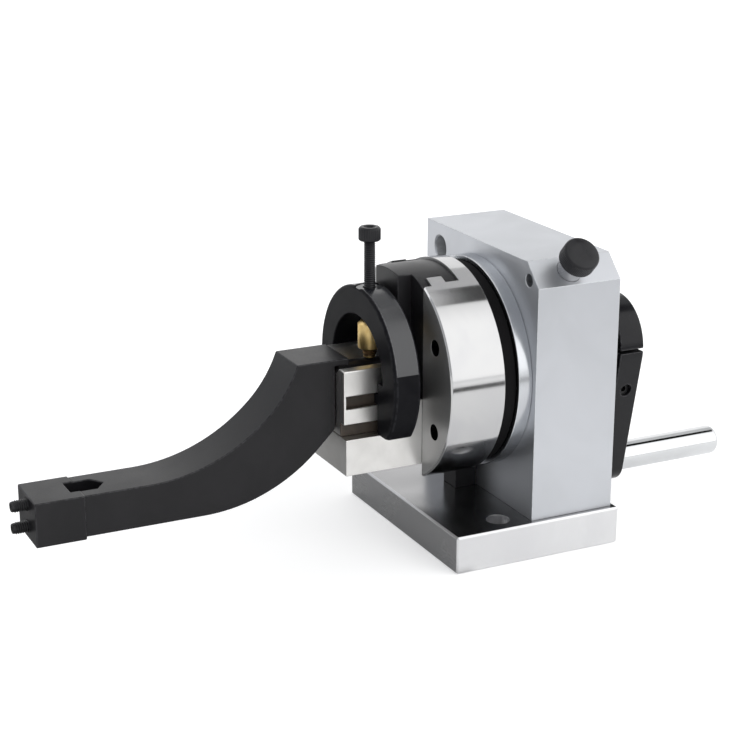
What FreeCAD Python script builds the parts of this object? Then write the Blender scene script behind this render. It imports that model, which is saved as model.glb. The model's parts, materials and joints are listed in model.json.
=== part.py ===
import FreeCAD, Part
import math
import os

import Sketcher
from FreeCAD import Placement, Rotation, Vector

# Hand-cranked punch former: a spindle in a housing block on a ground base, a head
# disc with a T-slide and V-block in front, a notched index plate on the spindle
# and a crank behind. Lengths in millimetres, +Z up, spindle axis along Y,
# origin at the centre of the base's underside, front towards -Y.

DIMENSIONS = [
    # base plate
    ("base_width", 80.0),
    ("base_depth", 62.0),
    ("base_thickness", 13.0),
    ("base_edge", 0.6),
    ("base_hole_spacing", 63.4),
    ("base_hole_forward", 11.2),
    ("base_hole_dia", 4.5),
    ("base_counterbore_dia", 8.0),
    ("base_counterbore_depth", 4.5),
    # housing block
    ("block_width", 76.0),
    ("block_thickness", 31.0),
    ("block_rise", 87.0),
    ("block_inset", 2.0),
    ("block_chamfer", 7.5),
    ("axis_height", 59.0),
    ("front_bore_dia", 38.0),
    ("front_bore_depth", 10.0),
    ("rear_bore_room", 1.0),
    ("post_bore_dia", 8.0),
    ("post_bore_side", 28.3),
    ("post_bore_drop", 8.5),
    ("post_bore_depth", 22.0),
    ("post_bore_edge", 0.5),
    ("housing_screw_side", 26.0),
    # fits
    ("seat_gap", 0.02),
    ("running_gap", 0.05),
    ("face_gap", 0.3),
    ("screw_gap", 0.1),
    # screws: shank diameter, head diameter, head height
    ("large_screw_dia", 6.0),
    ("large_head_dia", 10.0),
    ("large_head_height", 6.0),
    ("medium_screw_dia", 4.0),
    ("medium_head_dia", 7.0),
    ("medium_head_height", 2.8),
    ("small_screw_dia", 3.0),
    ("small_head_dia", 5.2),
    ("small_head_height", 3.0),
    # flange and rear cap
    ("flange_dia", 72.0),
    ("flange_thickness", 5.0),
    ("flange_screw_circle", 54.0),
    ("flange_screw_reach", 9.0),
    ("cap_rim", 7.0),
    ("cap_thickness", 5.0),
    ("cap_spigot_length", 13.0),
    ("cap_screw_reach", 10.0),
    ("rear_bush_wall", 4.0),
    # stop block
    ("stop_left", 8.0),
    ("stop_right", 0.6),
    ("stop_depth", 8.4),
    ("stop_height", 9.5),
    # spindle
    ("nose_dia", 24.0),
    ("nose_length", 5.0),
    ("collar_dia", 41.0),
    ("ring_dia", 69.0),
    ("ring_thickness", 4.7),
    ("journal_dia", 30.0),
    ("plate_seat_dia", 20.0),
    ("rear_journal_dia", 18.0),
    ("shaft_end_dia", 14.0),
    # head disc and slot
    ("head_dia", 73.0),
    ("head_thickness", 20.0),
    ("head_edge", 0.5),
    ("rebate_width", 33.0),
    ("rebate_depth", 3.0),
    ("neck_width", 25.0),
    ("neck_depth", 5.5),
    ("tee_width", 31.0),
    ("tee_depth", 5.0),
    ("slide_gap", 0.1),
    ("head_screw_circle", 57.2),
    ("head_screw_angle", 30.0),
    ("head_counterbore_depth", 14.0),
    # slide
    ("slide_end_radius", 35.7),
    ("rib_width", 16.0),
    ("rib_height", 5.0),
    ("slide_screw_length", 19.4),
    # V-block and its holder
    ("holder_width", 33.0),
    ("holder_length", 27.6),
    ("holder_bottom", 28.0),
    ("holder_height", 12.4),
    ("upright_height", 10.1),
    ("holder_screw_side", 9.0),
    ("vblock_width", 30.0),
    ("vblock_length", 22.4),
    ("vblock_height", 22.8),
    ("vee_half_width", 11.0),
    ("relief_width", 1.5),
    ("relief_depth", 1.9),
    ("groove_bottom", 10.0),
    ("groove_height", 4.1),
    ("groove_depth", 2.3),
    ("groove_end", 1.0),
    ("foot_height", 4.6),
    ("foot_inset", 2.5),
    ("vblock_screw_front", 6.5),
    ("vblock_screw_back", 6.0),
    # clamp yoke, screw and pad
    ("yoke_radius", 28.5),
    ("yoke_bore_radius", 19.0),
    ("yoke_rise", 2.0),
    ("yoke_thickness", 9.5),
    ("yoke_behind", 1.2),
    ("yoke_foot_drop", 17.5),
    ("yoke_side_gap", 0.4),
    ("tongue_gap", 0.2),
    ("tongue_tip_gap", 0.3),
    ("yoke_chamfer", 0.8),
    ("clamp_screw_dia", 3.9),
    ("clamp_head_dia", 7.3),
    ("clamp_head_height", 4.5),
    ("clamp_screw_length", 26.85),
    ("clamp_spigot_dia", 2.4),
    ("clamp_spigot_length", 3.0),
    ("pad_dia", 7.8),
    ("pad_length", 9.4),
    ("pad_edge", 1.0),
    ("pad_nose_dia", 5.2),
    ("pad_nose_length", 3.3),
    ("pad_gap", 0.1),
    ("spotface_dia", 9.0),
    ("spotface_depth", 0.6),
    # dresser arm
    ("shank_dia", 8.0),
    ("shank_length", 34.0),
    ("shank_socket", 12.0),
    ("vee_gap", 0.05),
    ("arm_width", 18.0),
    ("lip_reach", 4.7),
    ("lip_thickness", 2.1),
    ("lip_gap", 0.3),
    ("arm_pad_length", 13.1),
    ("arm_back_drop", 21.4),
    ("arm_upper_radius", 42.0),
    ("arm_middle_radius", 58.5),
    ("arm_under_radius", 57.0),
    ("arm_turn", 44.0),
    ("arm_beam_height", 13.7),
    ("arm_beam_bottom", 22.8),
    ("arm_flat_start", 64.0),
    ("end_block_length", 16.0),
    ("end_block_proud", 0.65),
    ("end_block_rise", 0.2),
    ("arm_reach", 101.0),
    ("pocket_width", 8.5),
    ("pocket_length", 8.6),
    ("pocket_point", 3.1),
    ("pocket_from_end", 13.0),
    ("set_screw_dia", 4.0),
    ("set_screw_length", 17.0),
    ("set_screw_spacing", 7.2),
    ("set_screw_out", 5.0),
    ("hex_size", 2.0),
    # index plate, sleeve, pin and knob
    ("index_setback", 13.5),
    ("index_plate_dia", 44.0),
    ("index_plate_thickness", 6.0),
    ("notch_count", 24),
    ("notch_width", 3.6),
    ("notch_reach", 1.6),
    ("sleeve_dia", 8.4),
    ("sleeve_bore", 7.2),
    ("sleeve_length", 21.6),
    ("sleeve_out", 5.0),
    ("sleeve_cap", 3.3),
    ("pin_nose_dia", 3.0),
    ("pin_guide_dia", 5.0),
    ("pin_collar_dia", 6.6),
    ("pin_collar_height", 2.0),
    ("pin_stem_dia", 3.0),
    ("pin_travel", 4.0),
    ("knob_dia", 12.2),
    ("knob_height", 5.4),
    ("spring_dia", 6.0),
    ("spring_wire", 0.8),
    ("spring_turns", 6),
    ("lock_screw_dia", 4.2),
    ("lock_screw_below", 3.3),
    ("lock_screw_sunk", 3.5),
    # crank and handle
    ("washer_dia", 24.0),
    ("washer_thickness", 1.7),
    ("boss_dia", 30.0),
    ("boss_length", 9.0),
    ("crank_hub_radius", 16.7),
    ("crank_tip_radius", 7.75),
    ("crank_throw", 45.2),
    ("crank_thickness", 9.4),
    ("slit_width", 1.0),
    ("side_screw_drop", 15.0),
    ("side_screw_dia", 4.2),
    ("side_screw_length", 7.0),
    ("side_screw_sunk", 1.6),
    ("end_washer_dia", 17.6),
    ("end_washer_thickness", 1.8),
    ("handle_dia", 10.5),
    ("handle_length", 44.1),
    ("handle_round", 2.0),
    ("handle_spigot_dia", 7.0),
    ("handle_spigot_length", 7.2),
]

doc = FreeCAD.newDocument("PunchFormer")
sheet = doc.addObject("Spreadsheet::Sheet", "Sizes")
for row, (alias, number) in enumerate(DIMENSIONS, start=1):
    sheet.set("A%d" % row, alias)
    sheet.set("B%d" % row, repr(number))
    sheet.setAlias("B%d" % row, alias)
doc.recompute()


class Size:
    """A number together with the formula that gives it from the sheet."""

    def __init__(self, value, text):
        self.value = float(value)
        self.text = text

    @staticmethod
    def of(other):
        if isinstance(other, Size):
            return other
        return Size(other, "(%s)" % repr(float(other)))

    def __add__(self, other):
        other = Size.of(other)
        return Size(self.value + other.value, "(%s + %s)" % (self.text, other.text))

    def __radd__(self, other):
        return Size.of(other) + self

    def __sub__(self, other):
        other = Size.of(other)
        return Size(self.value - other.value, "(%s - %s)" % (self.text, other.text))

    def __rsub__(self, other):
        return Size.of(other) - self

    def __mul__(self, other):
        other = Size.of(other)
        return Size(self.value * other.value, "(%s * %s)" % (self.text, other.text))

    def __rmul__(self, other):
        return Size.of(other) * self

    def __truediv__(self, other):
        other = Size.of(other)
        return Size(self.value / other.value, "(%s / %s)" % (self.text, other.text))

    def __neg__(self):
        return Size(-self.value, "(0 - %s)" % self.text)


def root(a):
    return Size(math.sqrt(a.value), "sqrt(%s)" % a.text)


def sine(a):
    return Size(math.sin(math.radians(a.value)), "sin(%s)" % a.text)


def cosine(a):
    return Size(math.cos(math.radians(a.value)), "cos(%s)" % a.text)


def arc_sine(a):
    """Angle in degrees, without a unit."""
    return Size(math.degrees(math.asin(a.value)), "(asin(%s) / 1 deg)" % a.text)


def named(alias):
    return Size(sheet.get(alias), "Sizes.%s" % alias)


def bind(item, prop, size):
    size = Size.of(size)
    item.setExpression(prop, size.text)


NODES = {}


def keep(item, label):
    """Give a finished sub-part its label and list it for writing."""
    item.Label = label
    NODES[label] = item
    return item


def new_body(name, compound=False):
    body = doc.addObject("PartDesign::Body", name)
    body.AllowCompound = compound
    return body


PLANE_TURN = {"XY_Plane": 1, "XZ_Plane": -1, "YZ_Plane": 1}


def new_sketch(body, plane, level, shift=(0, 0), turn=None):
    """Sketch on one of the body's planes, at a level along that plane's world axis."""
    sketch = body.newObject("Sketcher::SketchObject", body.Name + "_Sketch")
    for feature in body.Origin.OriginFeatures:
        if feature.Role == plane:
            sketch.AttachmentSupport = [(feature, "")]
    sketch.MapMode = "FlatFace"
    level = Size.of(level) * PLANE_TURN[plane]
    across, along = Size.of(shift[0]), Size.of(shift[1])
    angle = Size.of(turn if turn is not None else 0)
    sketch.AttachmentOffset = Placement(
        Vector(across.value, along.value, level.value), Rotation(Vector(0, 0, 1), angle.value)
    )
    bind(sketch, ".AttachmentOffset.Base.x", across)
    bind(sketch, ".AttachmentOffset.Base.y", along)
    bind(sketch, ".AttachmentOffset.Base.z", level)
    if turn is not None:
        bind(sketch, ".AttachmentOffset.Rotation.Angle", angle)
    return sketch


def fix(sketch, kind, geometry, position, size):
    """Tie one coordinate of a point to a size, from the sketch's origin."""
    index = sketch.addConstraint(
        Sketcher.Constraint(kind, -1, 1, geometry, position, size.value)
    )
    bind(sketch, "Constraints[%d]" % index, size)


def circle(sketch, x, y, radius):
    x, y, radius = Size.of(x), Size.of(y), Size.of(radius)
    made = sketch.addGeometry(
        Part.Circle(Vector(x.value, y.value, 0), Vector(0, 0, 1), radius.value), False
    )
    index = sketch.addConstraint(Sketcher.Constraint("Radius", made, radius.value))
    bind(sketch, "Constraints[%d]" % index, radius)
    fix(sketch, "DistanceX", made, 3, x)
    fix(sketch, "DistanceY", made, 3, y)


def outline(sketch, points):
    """Closed outline. A point is (x, y), or (x, y, radius, side) when an arc reaches it:
    side 1 has the arc's centre left of the way there, -1 right, doubled past a half turn."""
    spots = [[Size.of(p[0]), Size.of(p[1])] + list(p[2:]) for p in points]
    count = len(spots)
    ends = []
    for i in range(count):
        start = Vector(spots[i - 1][0].value, spots[i - 1][1].value, 0)
        stop = Vector(spots[i][0].value, spots[i][1].value, 0)
        if len(spots[i]) == 2:
            made = sketch.addGeometry(Part.LineSegment(start, stop), False)
            ends.append((made, 1, 2))
            continue
        radius = Size.of(spots[i][2])
        side = 1 if spots[i][3] > 0 else -1
        reach = -side if abs(spots[i][3]) == 2 else side
        chord = stop - start
        height = math.sqrt(max(radius.value ** 2 - chord.Length ** 2 / 4, 0))
        normal = Vector(-chord.y, chord.x, 0).normalize()
        centre = (start + stop) * 0.5 + normal * height * reach
        first, last = (start, stop) if side > 0 else (stop, start)
        a0 = math.atan2(first.y - centre.y, first.x - centre.x)
        a1 = math.atan2(last.y - centre.y, last.x - centre.x)
        if a1 < a0:
            a1 += 2 * math.pi
        whole = Part.Circle(centre, Vector(0, 0, 1), radius.value)
        made = sketch.addGeometry(Part.ArcOfCircle(whole, a0, a1), False)
        ends.append((made, 1, 2) if side > 0 else (made, 2, 1))
        index = sketch.addConstraint(Sketcher.Constraint("Radius", made, radius.value))
        bind(sketch, "Constraints[%d]" % index, radius)
    for i in range(count):
        here, after = ends[i], ends[(i + 1) % count]
        sketch.addConstraint(Sketcher.Constraint("Coincident", here[0], here[2], after[0], after[1]))
        fix(sketch, "DistanceX", here[0], here[2], spots[i][0])
        fix(sketch, "DistanceY", here[0], here[2], spots[i][1])


def rectangle(sketch, x0, y0, x1, y1):
    outline(sketch, [(x0, y0), (x1, y0), (x1, y1), (x0, y1)])


def feature(body, kind, sketch, length, reverse=False, middle=False):
    made = body.newObject("PartDesign::" + kind, body.Name + "_" + kind)
    made.Profile = sketch
    made.Reversed = reverse
    if middle:
        made.SideType = "Symmetric"
    bind(made, "Length", length)
    sketch.Visibility = False
    return made


def pad(body, sketch, length, middle=False):
    return feature(body, "Pad", sketch, length, middle=middle)


def pocket(body, sketch, length, middle=False):
    """Pocket that must take material away."""
    doc.recompute()
    before = body.Shape.Volume
    made = feature(body, "Pocket", sketch, length, middle=middle)
    doc.recompute()
    if not body.Shape.Volume < before - 1e-6:
        raise ValueError("%s cuts nothing" % made.Name)
    return made


def revolve(body, points, level=0, shift=(0, 0), plane="YZ_Plane", axis="H_Axis"):
    sketch = new_sketch(body, plane, level, shift)
    outline(sketch, points)
    made = body.newObject("PartDesign::Revolution", body.Name + "_Revolution")
    made.Profile = sketch
    made.ReferenceAxis = (sketch, [axis])
    made.Angle = 360
    sketch.Visibility = False
    return made


def polar(body, original, sketch, count):
    made = body.newObject("PartDesign::PolarPattern", body.Name + "_Polar")
    made.Originals = [original]
    made.Axis = (sketch, ["N_Axis"])
    made.Angle = 360
    bind(made, "Occurrences", count)
    body.Tip = made
    return made


def chamfer(body, size, choose):
    """Chamfer the edges of the body's shape for which choose(edge) holds."""
    doc.recompute()
    base = body.Tip
    names = ["Edge%d" % (i + 1) for i, edge in enumerate(base.Shape.Edges) if choose(edge)]
    made = body.newObject("PartDesign::Chamfer", body.Name + "_Chamfer")
    made.Base = (base, names)
    bind(made, "Size", size)
    return made


def fillet(body, size, choose):
    doc.recompute()
    base = body.Tip
    names = ["Edge%d" % (i + 1) for i, edge in enumerate(base.Shape.Edges) if choose(edge)]
    made = body.newObject("PartDesign::Fillet", body.Name + "_Fillet")
    made.Base = (base, names)
    bind(made, "Radius", size)
    return made


def cylinder(name, radius, height, base, rotation):
    """Plain cylinder from a base point along the rotated +Z."""
    made = doc.addObject("Part::Cylinder", name)
    bind(made, "Radius", radius)
    bind(made, "Height", height)
    made.Placement = Placement(Vector(*[Size.of(c).value for c in base]), rotation)
    for letter, part in zip("xyz", base):
        bind(made, ".Placement.Base." + letter, part)
    return made


def hexagon(sketch, x, y, across):
    """Socket outline with the given size across flats."""
    corner = Size.of(across) / math.sqrt(3)
    outline(
        sketch,
        [(x + corner * math.cos(k * math.pi / 3), y + corner * math.sin(k * math.pi / 3)) for k in range(6)],
    )


UPRIGHT = Rotation()
TO_FRONT = Rotation(Vector(1, 0, 0), 90)
TO_BACK = Rotation(Vector(1, 0, 0), -90)
TO_RIGHT = Rotation(Vector(0, 1, 0), 90)
SLANT = Rotation(Vector(0, 1, 0), 45)

# Levels along Y, from the base's middle.
block_back = named("base_depth") / 2 - named("block_inset")
block_front = block_back - named("block_thickness")
flange_face = block_front - named("flange_thickness")
ring_back = flange_face - named("face_gap")
ring_face = ring_back - named("ring_thickness")
head_face = ring_face - named("head_thickness")
rebate_floor = head_face + named("rebate_depth")
neck_floor = rebate_floor + named("neck_depth")
tee_floor = neck_floor + named("tee_depth")
rib_face = head_face - named("rib_height")
rear_bore_floor = block_front + named("front_bore_depth")
cap_face = block_back + named("cap_thickness")
washer_front = cap_face + named("face_gap")
crank_front = washer_front + named("washer_thickness")
plate_front = crank_front + named("boss_length")
crank_back = plate_front + named("crank_thickness")
index_level = block_front + named("index_setback")
notch_front = index_level - named("index_plate_thickness") / 2
notch_back = index_level + named("index_plate_thickness") / 2
rear_bore = named("index_plate_dia") / 2 + named("rear_bore_room")
cap_radius = rear_bore + named("cap_rim")
cap_screw_radius = rear_bore + named("cap_rim") / 2

# Levels along Z.
axis = named("axis_height")
base_top = named("base_thickness")
block_top = base_top + named("block_rise")
slide_axis = (0, axis)

# Base plate
base = new_body("BasePlate")
sketch = new_sketch(base, "XY_Plane", 0)
half_width, half_depth = named("base_width") / 2, named("base_depth") / 2
rectangle(sketch, -half_width, -half_depth, half_width, half_depth)
pad(base, sketch, base_top)
chamfer(base, named("base_edge"), lambda edge: len(edge.Vertexes) == 2)
hole_side = named("base_hole_spacing") / 2
hole_level = -named("base_hole_forward")
sketch = new_sketch(base, "XY_Plane", base_top)
for side in (-1, 1):
    circle(sketch, hole_side * side, hole_level, named("base_hole_dia") / 2)
pocket(base, sketch, base_top)
sketch = new_sketch(base, "XY_Plane", base_top)
for side in (-1, 1):
    circle(sketch, hole_side * side, hole_level, named("base_counterbore_dia") / 2)
pocket(base, sketch, named("base_counterbore_depth"))
screw_row = (block_front + block_back) / 2
stop_x = (named("stop_right") - named("stop_left")) / 2
stop_y = block_front - named("stop_depth") / 2
large_sunk = named("large_head_height") + named("base_edge")
small_sunk = named("small_head_height") + named("base_edge")
sketch = new_sketch(base, "XY_Plane", base_top)
for side in (-1, 1):
    circle(sketch, named("housing_screw_side") * side, screw_row, named("large_screw_dia") / 2 + named("face_gap"))
circle(sketch, stop_x, stop_y, named("small_screw_dia") / 2 + named("screw_gap"))
pocket(base, sketch, base_top)
sketch = new_sketch(base, "XY_Plane", large_sunk)
for side in (-1, 1):
    circle(sketch, named("housing_screw_side") * side, screw_row, named("large_head_dia") / 2 + named("face_gap"))
pocket(base, sketch, large_sunk)
sketch = new_sketch(base, "XY_Plane", small_sunk)
circle(sketch, stop_x, stop_y, named("small_head_dia") / 2 + named("face_gap"))
pocket(base, sketch, small_sunk)
keep(base, "base_plate")

# Two cap screws hold the block from beneath.
body = new_body("HousingScrews", compound=True)
sketch = new_sketch(body, "XY_Plane", named("base_edge"))
for side in (-1, 1):
    circle(sketch, named("housing_screw_side") * side, screw_row, named("large_head_dia") / 2)
pad(body, sketch, named("large_head_height"))
sketch = new_sketch(body, "XY_Plane", large_sunk)
for side in (-1, 1):
    circle(sketch, named("housing_screw_side") * side, screw_row, named("large_screw_dia") / 2)
housing_screw_reach = named("large_screw_dia") * 2
pad(body, sketch, base_top + housing_screw_reach - large_sunk)
keep(body, "housing_screws")

# Housing block with a stepped bore; the wide rear bore takes the index plate.
body = new_body("BlockBody")
sketch = new_sketch(body, "XZ_Plane", block_back)
half_block = named("block_width") / 2
outline(sketch, [
    (-half_block, base_top),
    (half_block, base_top),
    (half_block, block_top - named("block_chamfer")),
    (half_block - named("block_chamfer"), block_top),
    (-half_block, block_top),
])
pad(body, sketch, named("block_thickness"))
sketch = new_sketch(body, "XZ_Plane", block_front)
circle(sketch, 0, axis, named("front_bore_dia") / 2)
pocket(body, sketch, named("front_bore_depth"))
sketch = new_sketch(body, "XZ_Plane", rear_bore_floor)
circle(sketch, 0, axis, rear_bore)
pocket(body, sketch, named("block_thickness") - named("front_bore_depth"))
sketch = new_sketch(body, "XZ_Plane", block_front)
circle(sketch, -named("post_bore_side"), block_top - named("post_bore_drop"), named("post_bore_dia") / 2)
pocket(body, sketch, named("post_bore_depth"))
post_radius = named("post_bore_dia") / 2
post_level = block_front.value
chamfer(body, named("post_bore_edge"), lambda edge: (
    edge.Curve.TypeId == "Part::GeomCircle" and abs(edge.Curve.Radius - post_radius.value) < 1e-4
    and abs(edge.Curve.Center.y - post_level) < 1e-4
))

# The index axis leaves the block square to the middle of its chamfer.
chamfer_x = half_block - named("block_chamfer") / 2
chamfer_z = block_top - named("block_chamfer") / 2
HALF_ROOT = math.sqrt(0.5)
index_offset = (chamfer_z - axis - chamfer_x) * HALF_ROOT
chamfer_along = (chamfer_z - axis + chamfer_x) * HALF_ROOT
index_foot = (-index_offset * HALF_ROOT, index_level, axis + index_offset * HALF_ROOT)
notch_radius = named("index_plate_dia") / 2 - named("notch_reach")
nose_along = root(notch_radius * notch_radius - index_offset * index_offset)
notch_angle = arc_sine(index_offset / notch_radius) + 45
sleeve_top = chamfer_along + named("sleeve_out")
sleeve_bottom = sleeve_top - named("sleeve_length")


def on_index_axis(along):
    return (
        index_foot[0] + along * HALF_ROOT,
        index_level,
        index_foot[2] + along * HALF_ROOT,
    )


lock_point = on_index_axis(chamfer_along - named("lock_screw_below"))
lock_reach = named("index_setback") - named("sleeve_dia") / 2
sketch = new_sketch(body, "XZ_Plane", block_front)
circle(sketch, lock_point[0], lock_point[2], named("lock_screw_dia") / 2 + named("running_gap"))
pocket(body, sketch, lock_reach + named("sleeve_dia") / 6)
medium_hole = named("medium_screw_dia") / 2 + named("running_gap")
sketch = new_sketch(body, "XZ_Plane", block_front, slide_axis, turn=45)
circle(sketch, named("flange_screw_circle") / 2, 0, medium_hole)
made = pocket(body, sketch, named("flange_screw_reach"))
polar(body, made, sketch, 4)
sketch = new_sketch(body, "XZ_Plane", block_back - named("cap_screw_reach"), slide_axis, turn=45)
circle(sketch, cap_screw_radius, 0, medium_hole)
made = pocket(body, sketch, named("cap_screw_reach"))
polar(body, made, sketch, 4)
sketch = new_sketch(body, "XY_Plane", base_top + housing_screw_reach + named("face_gap"))
for side in (-1, 1):
    circle(sketch, named("housing_screw_side") * side, screw_row, named("large_screw_dia") / 2 + named("running_gap"))
pocket(body, sketch, housing_screw_reach + named("face_gap"))
doc.recompute()
sleeve_bore_hole = cylinder(
    "SleeveSeat",
    named("sleeve_dia") / 2 + named("seat_gap"),
    named("sleeve_length") + named("block_chamfer"),
    on_index_axis(sleeve_bottom - named("face_gap")),
    SLANT,
)
pin_start = rear_bore - named("pin_travel")
pin_hole = cylinder(
    "PinHole",
    named("pin_guide_dia") / 2 + named("running_gap"),
    sleeve_bottom - pin_start,
    on_index_axis(pin_start),
    SLANT,
)
slanted = doc.addObject("Part::MultiFuse", "SlantedHoles")
slanted.Shapes = [sleeve_bore_hole, pin_hole]
block = doc.addObject("Part::Cut", "HousingBlock")
block.Base = body
block.Tool = slanted
keep(block, "housing_block")

# Flange, its low-head screws and the bronze bush through flange and block
medium_sunk = named("medium_head_height") + named("running_gap")
body = new_body("FrontFlange")
sketch = new_sketch(body, "XZ_Plane", block_front, slide_axis)
circle(sketch, 0, 0, named("flange_dia") / 2)
circle(sketch, 0, 0, named("front_bore_dia") / 2)
pad(body, sketch, named("flange_thickness"))
sketch = new_sketch(body, "XZ_Plane", flange_face, slide_axis, turn=45)
circle(sketch, named("flange_screw_circle") / 2, 0, named("medium_screw_dia") / 2 + named("screw_gap"))
made = pocket(body, sketch, named("flange_thickness"))
polar(body, made, sketch, 4)
sketch = new_sketch(body, "XZ_Plane", flange_face, slide_axis, turn=45)
circle(sketch, named("flange_screw_circle") / 2, 0, named("medium_head_dia") / 2 + named("screw_gap"))
made = pocket(body, sketch, medium_sunk)
polar(body, made, sketch, 4)
keep(body, "front_flange")


def screw_ring(name, label, face, depth, way, circle_dia, reach, hexed=True):
    """Four socket screws round the spindle axis; way -1 when their heads look forward."""
    made_body = new_body(name, compound=True)
    seat = face - depth * way
    head = named("medium_head_height")
    front = seat if way > 0 else seat - head
    top = Size.of(front + head)
    ring = new_sketch(made_body, "XZ_Plane", top, slide_axis, turn=45)
    circle(ring, circle_dia / 2, 0, named("medium_head_dia") / 2)
    first = pad(made_body, ring, head)
    low = new_sketch(made_body, "XZ_Plane", seat if way > 0 else seat + reach, slide_axis, turn=45)
    circle(low, circle_dia / 2, 0, named("medium_screw_dia") / 2)
    second = pad(made_body, low, reach)
    pattern = made_body.newObject("PartDesign::PolarPattern", name + "_Polar")
    pattern.Originals = [first, second]
    pattern.Axis = (ring, ["N_Axis"])
    pattern.Angle = 360
    pattern.Occurrences = 4
    made_body.Tip = pattern
    return keep(made_body, label)


flange_shank = named("flange_thickness") - medium_sunk + named("flange_screw_reach") - named("medium_screw_dia") / 4
screw_ring("FlangeScrews", "flange_screws", flange_face, medium_sunk, -1, named("flange_screw_circle"), flange_shank)

journal = named("journal_dia") / 2
body = new_body("FrontBush")
sketch = new_sketch(body, "XZ_Plane", rear_bore_floor, slide_axis)
circle(sketch, 0, 0, named("front_bore_dia") / 2 - named("seat_gap"))
circle(sketch, 0, 0, journal + named("running_gap"))
pad(body, sketch, rear_bore_floor - flange_face)
keep(body, "front_bush")

# Rear cap whose spigot fills the rear bore behind the index plate
rear_journal = named("rear_journal_dia") / 2
bush_radius = rear_journal + named("rear_bush_wall")
body = new_body("RearCap")
revolve(body, [
    (block_back - named("cap_spigot_length"), bush_radius),
    (cap_face, bush_radius),
    (cap_face, cap_radius),
    (block_back, cap_radius),
    (block_back, rear_bore - named("seat_gap")),
    (block_back - named("cap_spigot_length"), rear_bore - named("seat_gap")),
], shift=(0, axis))
sketch = new_sketch(body, "XZ_Plane", block_back, slide_axis, turn=45)
circle(sketch, cap_screw_radius, 0, named("medium_screw_dia") / 2 + named("screw_gap"))
made = pocket(body, sketch, named("cap_thickness"))
polar(body, made, sketch, 4)
sketch = new_sketch(body, "XZ_Plane", cap_face - medium_sunk, slide_axis, turn=45)
circle(sketch, cap_screw_radius, 0, named("medium_head_dia") / 2 + named("screw_gap"))
made = pocket(body, sketch, medium_sunk)
polar(body, made, sketch, 4)
keep(body, "rear_cap")
cap_shank = named("cap_thickness") - medium_sunk + named("cap_screw_reach") - named("medium_screw_dia") / 4
screw_ring("CapScrews", "rear_cap_screws", cap_face, medium_sunk, 1, cap_screw_radius * 2, cap_shank)

body = new_body("RearBush")
sketch = new_sketch(body, "XZ_Plane", cap_face, slide_axis)
circle(sketch, 0, 0, bush_radius - named("seat_gap"))
circle(sketch, 0, 0, rear_journal + named("running_gap"))
pad(body, sketch, named("cap_thickness") + named("cap_spigot_length"))
keep(body, "rear_bush")

# Stop block on the base, against the block's front
body = new_body("StopBlock")
sketch = new_sketch(body, "XY_Plane", base_top)
rectangle(sketch, -named("stop_left"), block_front - named("stop_depth"), named("stop_right"), block_front)
pad(body, sketch, named("stop_height"))
sketch = new_sketch(body, "XY_Plane", base_top + named("stop_height") * 0.8)
circle(sketch, stop_x, stop_y, named("small_screw_dia") / 2 + named("running_gap"))
pocket(body, sketch, named("stop_height") * 0.8)
keep(body, "stop_block")

body = new_body("StopScrew")
sketch = new_sketch(body, "XY_Plane", named("base_edge"))
circle(sketch, stop_x, stop_y, named("small_head_dia") / 2)
pad(body, sketch, named("small_head_height"))
sketch = new_sketch(body, "XY_Plane", small_sunk)
circle(sketch, stop_x, stop_y, named("small_screw_dia") / 2)
pad(body, sketch, base_top - small_sunk + named("stop_height") * 0.7)
keep(body, "stop_block_screw")

# Spindle: nose in the head, collar in the ring, two journals, crank end
end_screw_radius = named("medium_screw_dia") / 2
shaft_end = crank_back - named("end_washer_thickness") - named("face_gap")
tapped_end = shaft_end - named("medium_screw_dia") * 3
body = new_body("Spindle")
revolve(body, [
    (ring_face - named("nose_length"), 0),
    (ring_face - named("nose_length"), named("nose_dia") / 2),
    (ring_face, named("nose_dia") / 2),
    (ring_face, named("collar_dia") / 2),
    (ring_back, named("collar_dia") / 2),
    (ring_back, journal),
    (notch_front, journal),
    (notch_front, named("plate_seat_dia") / 2),
    (notch_back, named("plate_seat_dia") / 2),
    (notch_back, rear_journal),
    (cap_face, rear_journal),
    (cap_face, named("shaft_end_dia") / 2),
    (shaft_end, named("shaft_end_dia") / 2),
    (shaft_end, end_screw_radius + named("running_gap")),
    (tapped_end, end_screw_radius + named("running_gap")),
    (tapped_end, 0),
], shift=(0, axis))
keep(body, "spindle")

head_screw_x = named("head_screw_circle") / 2 * cosine(named("head_screw_angle"))
head_screw_z = named("head_screw_circle") / 2 * sine(named("head_screw_angle"))
corners = [(1, 1), (-1, 1), (-1, -1), (1, -1)]
body = new_body("SpindleRing")
sketch = new_sketch(body, "XZ_Plane", ring_back, slide_axis)
circle(sketch, 0, 0, named("ring_dia") / 2)
circle(sketch, 0, 0, named("collar_dia") / 2 + named("seat_gap"))
for a, b in corners:
    circle(sketch, head_screw_x * a, head_screw_z * b, named("small_screw_dia") / 2 + named("running_gap"))
pad(body, sketch, named("ring_thickness"))
keep(body, "spindle_ring")

# Head disc with the T-slot across its face
body = new_body("HeadDisc")
sketch = new_sketch(body, "XZ_Plane", ring_face, slide_axis)
circle(sketch, 0, 0, named("head_dia") / 2)
pad(body, sketch, named("head_thickness"))
chamfer(body, named("head_edge"), lambda edge: edge.Curve.TypeId == "Part::GeomCircle")


def tee_outline(rebate, neck, tee, gap, open_to):
    """Half widths of the slot's three steps, from the open side inwards."""
    return [
        (-rebate, open_to),
        (rebate, open_to),
        (rebate, rebate_floor - gap),
        (neck, rebate_floor - gap),
        (neck, neck_floor + gap),
        (tee, neck_floor + gap),
        (tee, tee_floor - gap),
        (-tee, tee_floor - gap),
        (-tee, neck_floor + gap),
        (-neck, neck_floor + gap),
        (-neck, rebate_floor - gap),
        (-rebate, rebate_floor - gap),
    ]


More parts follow.
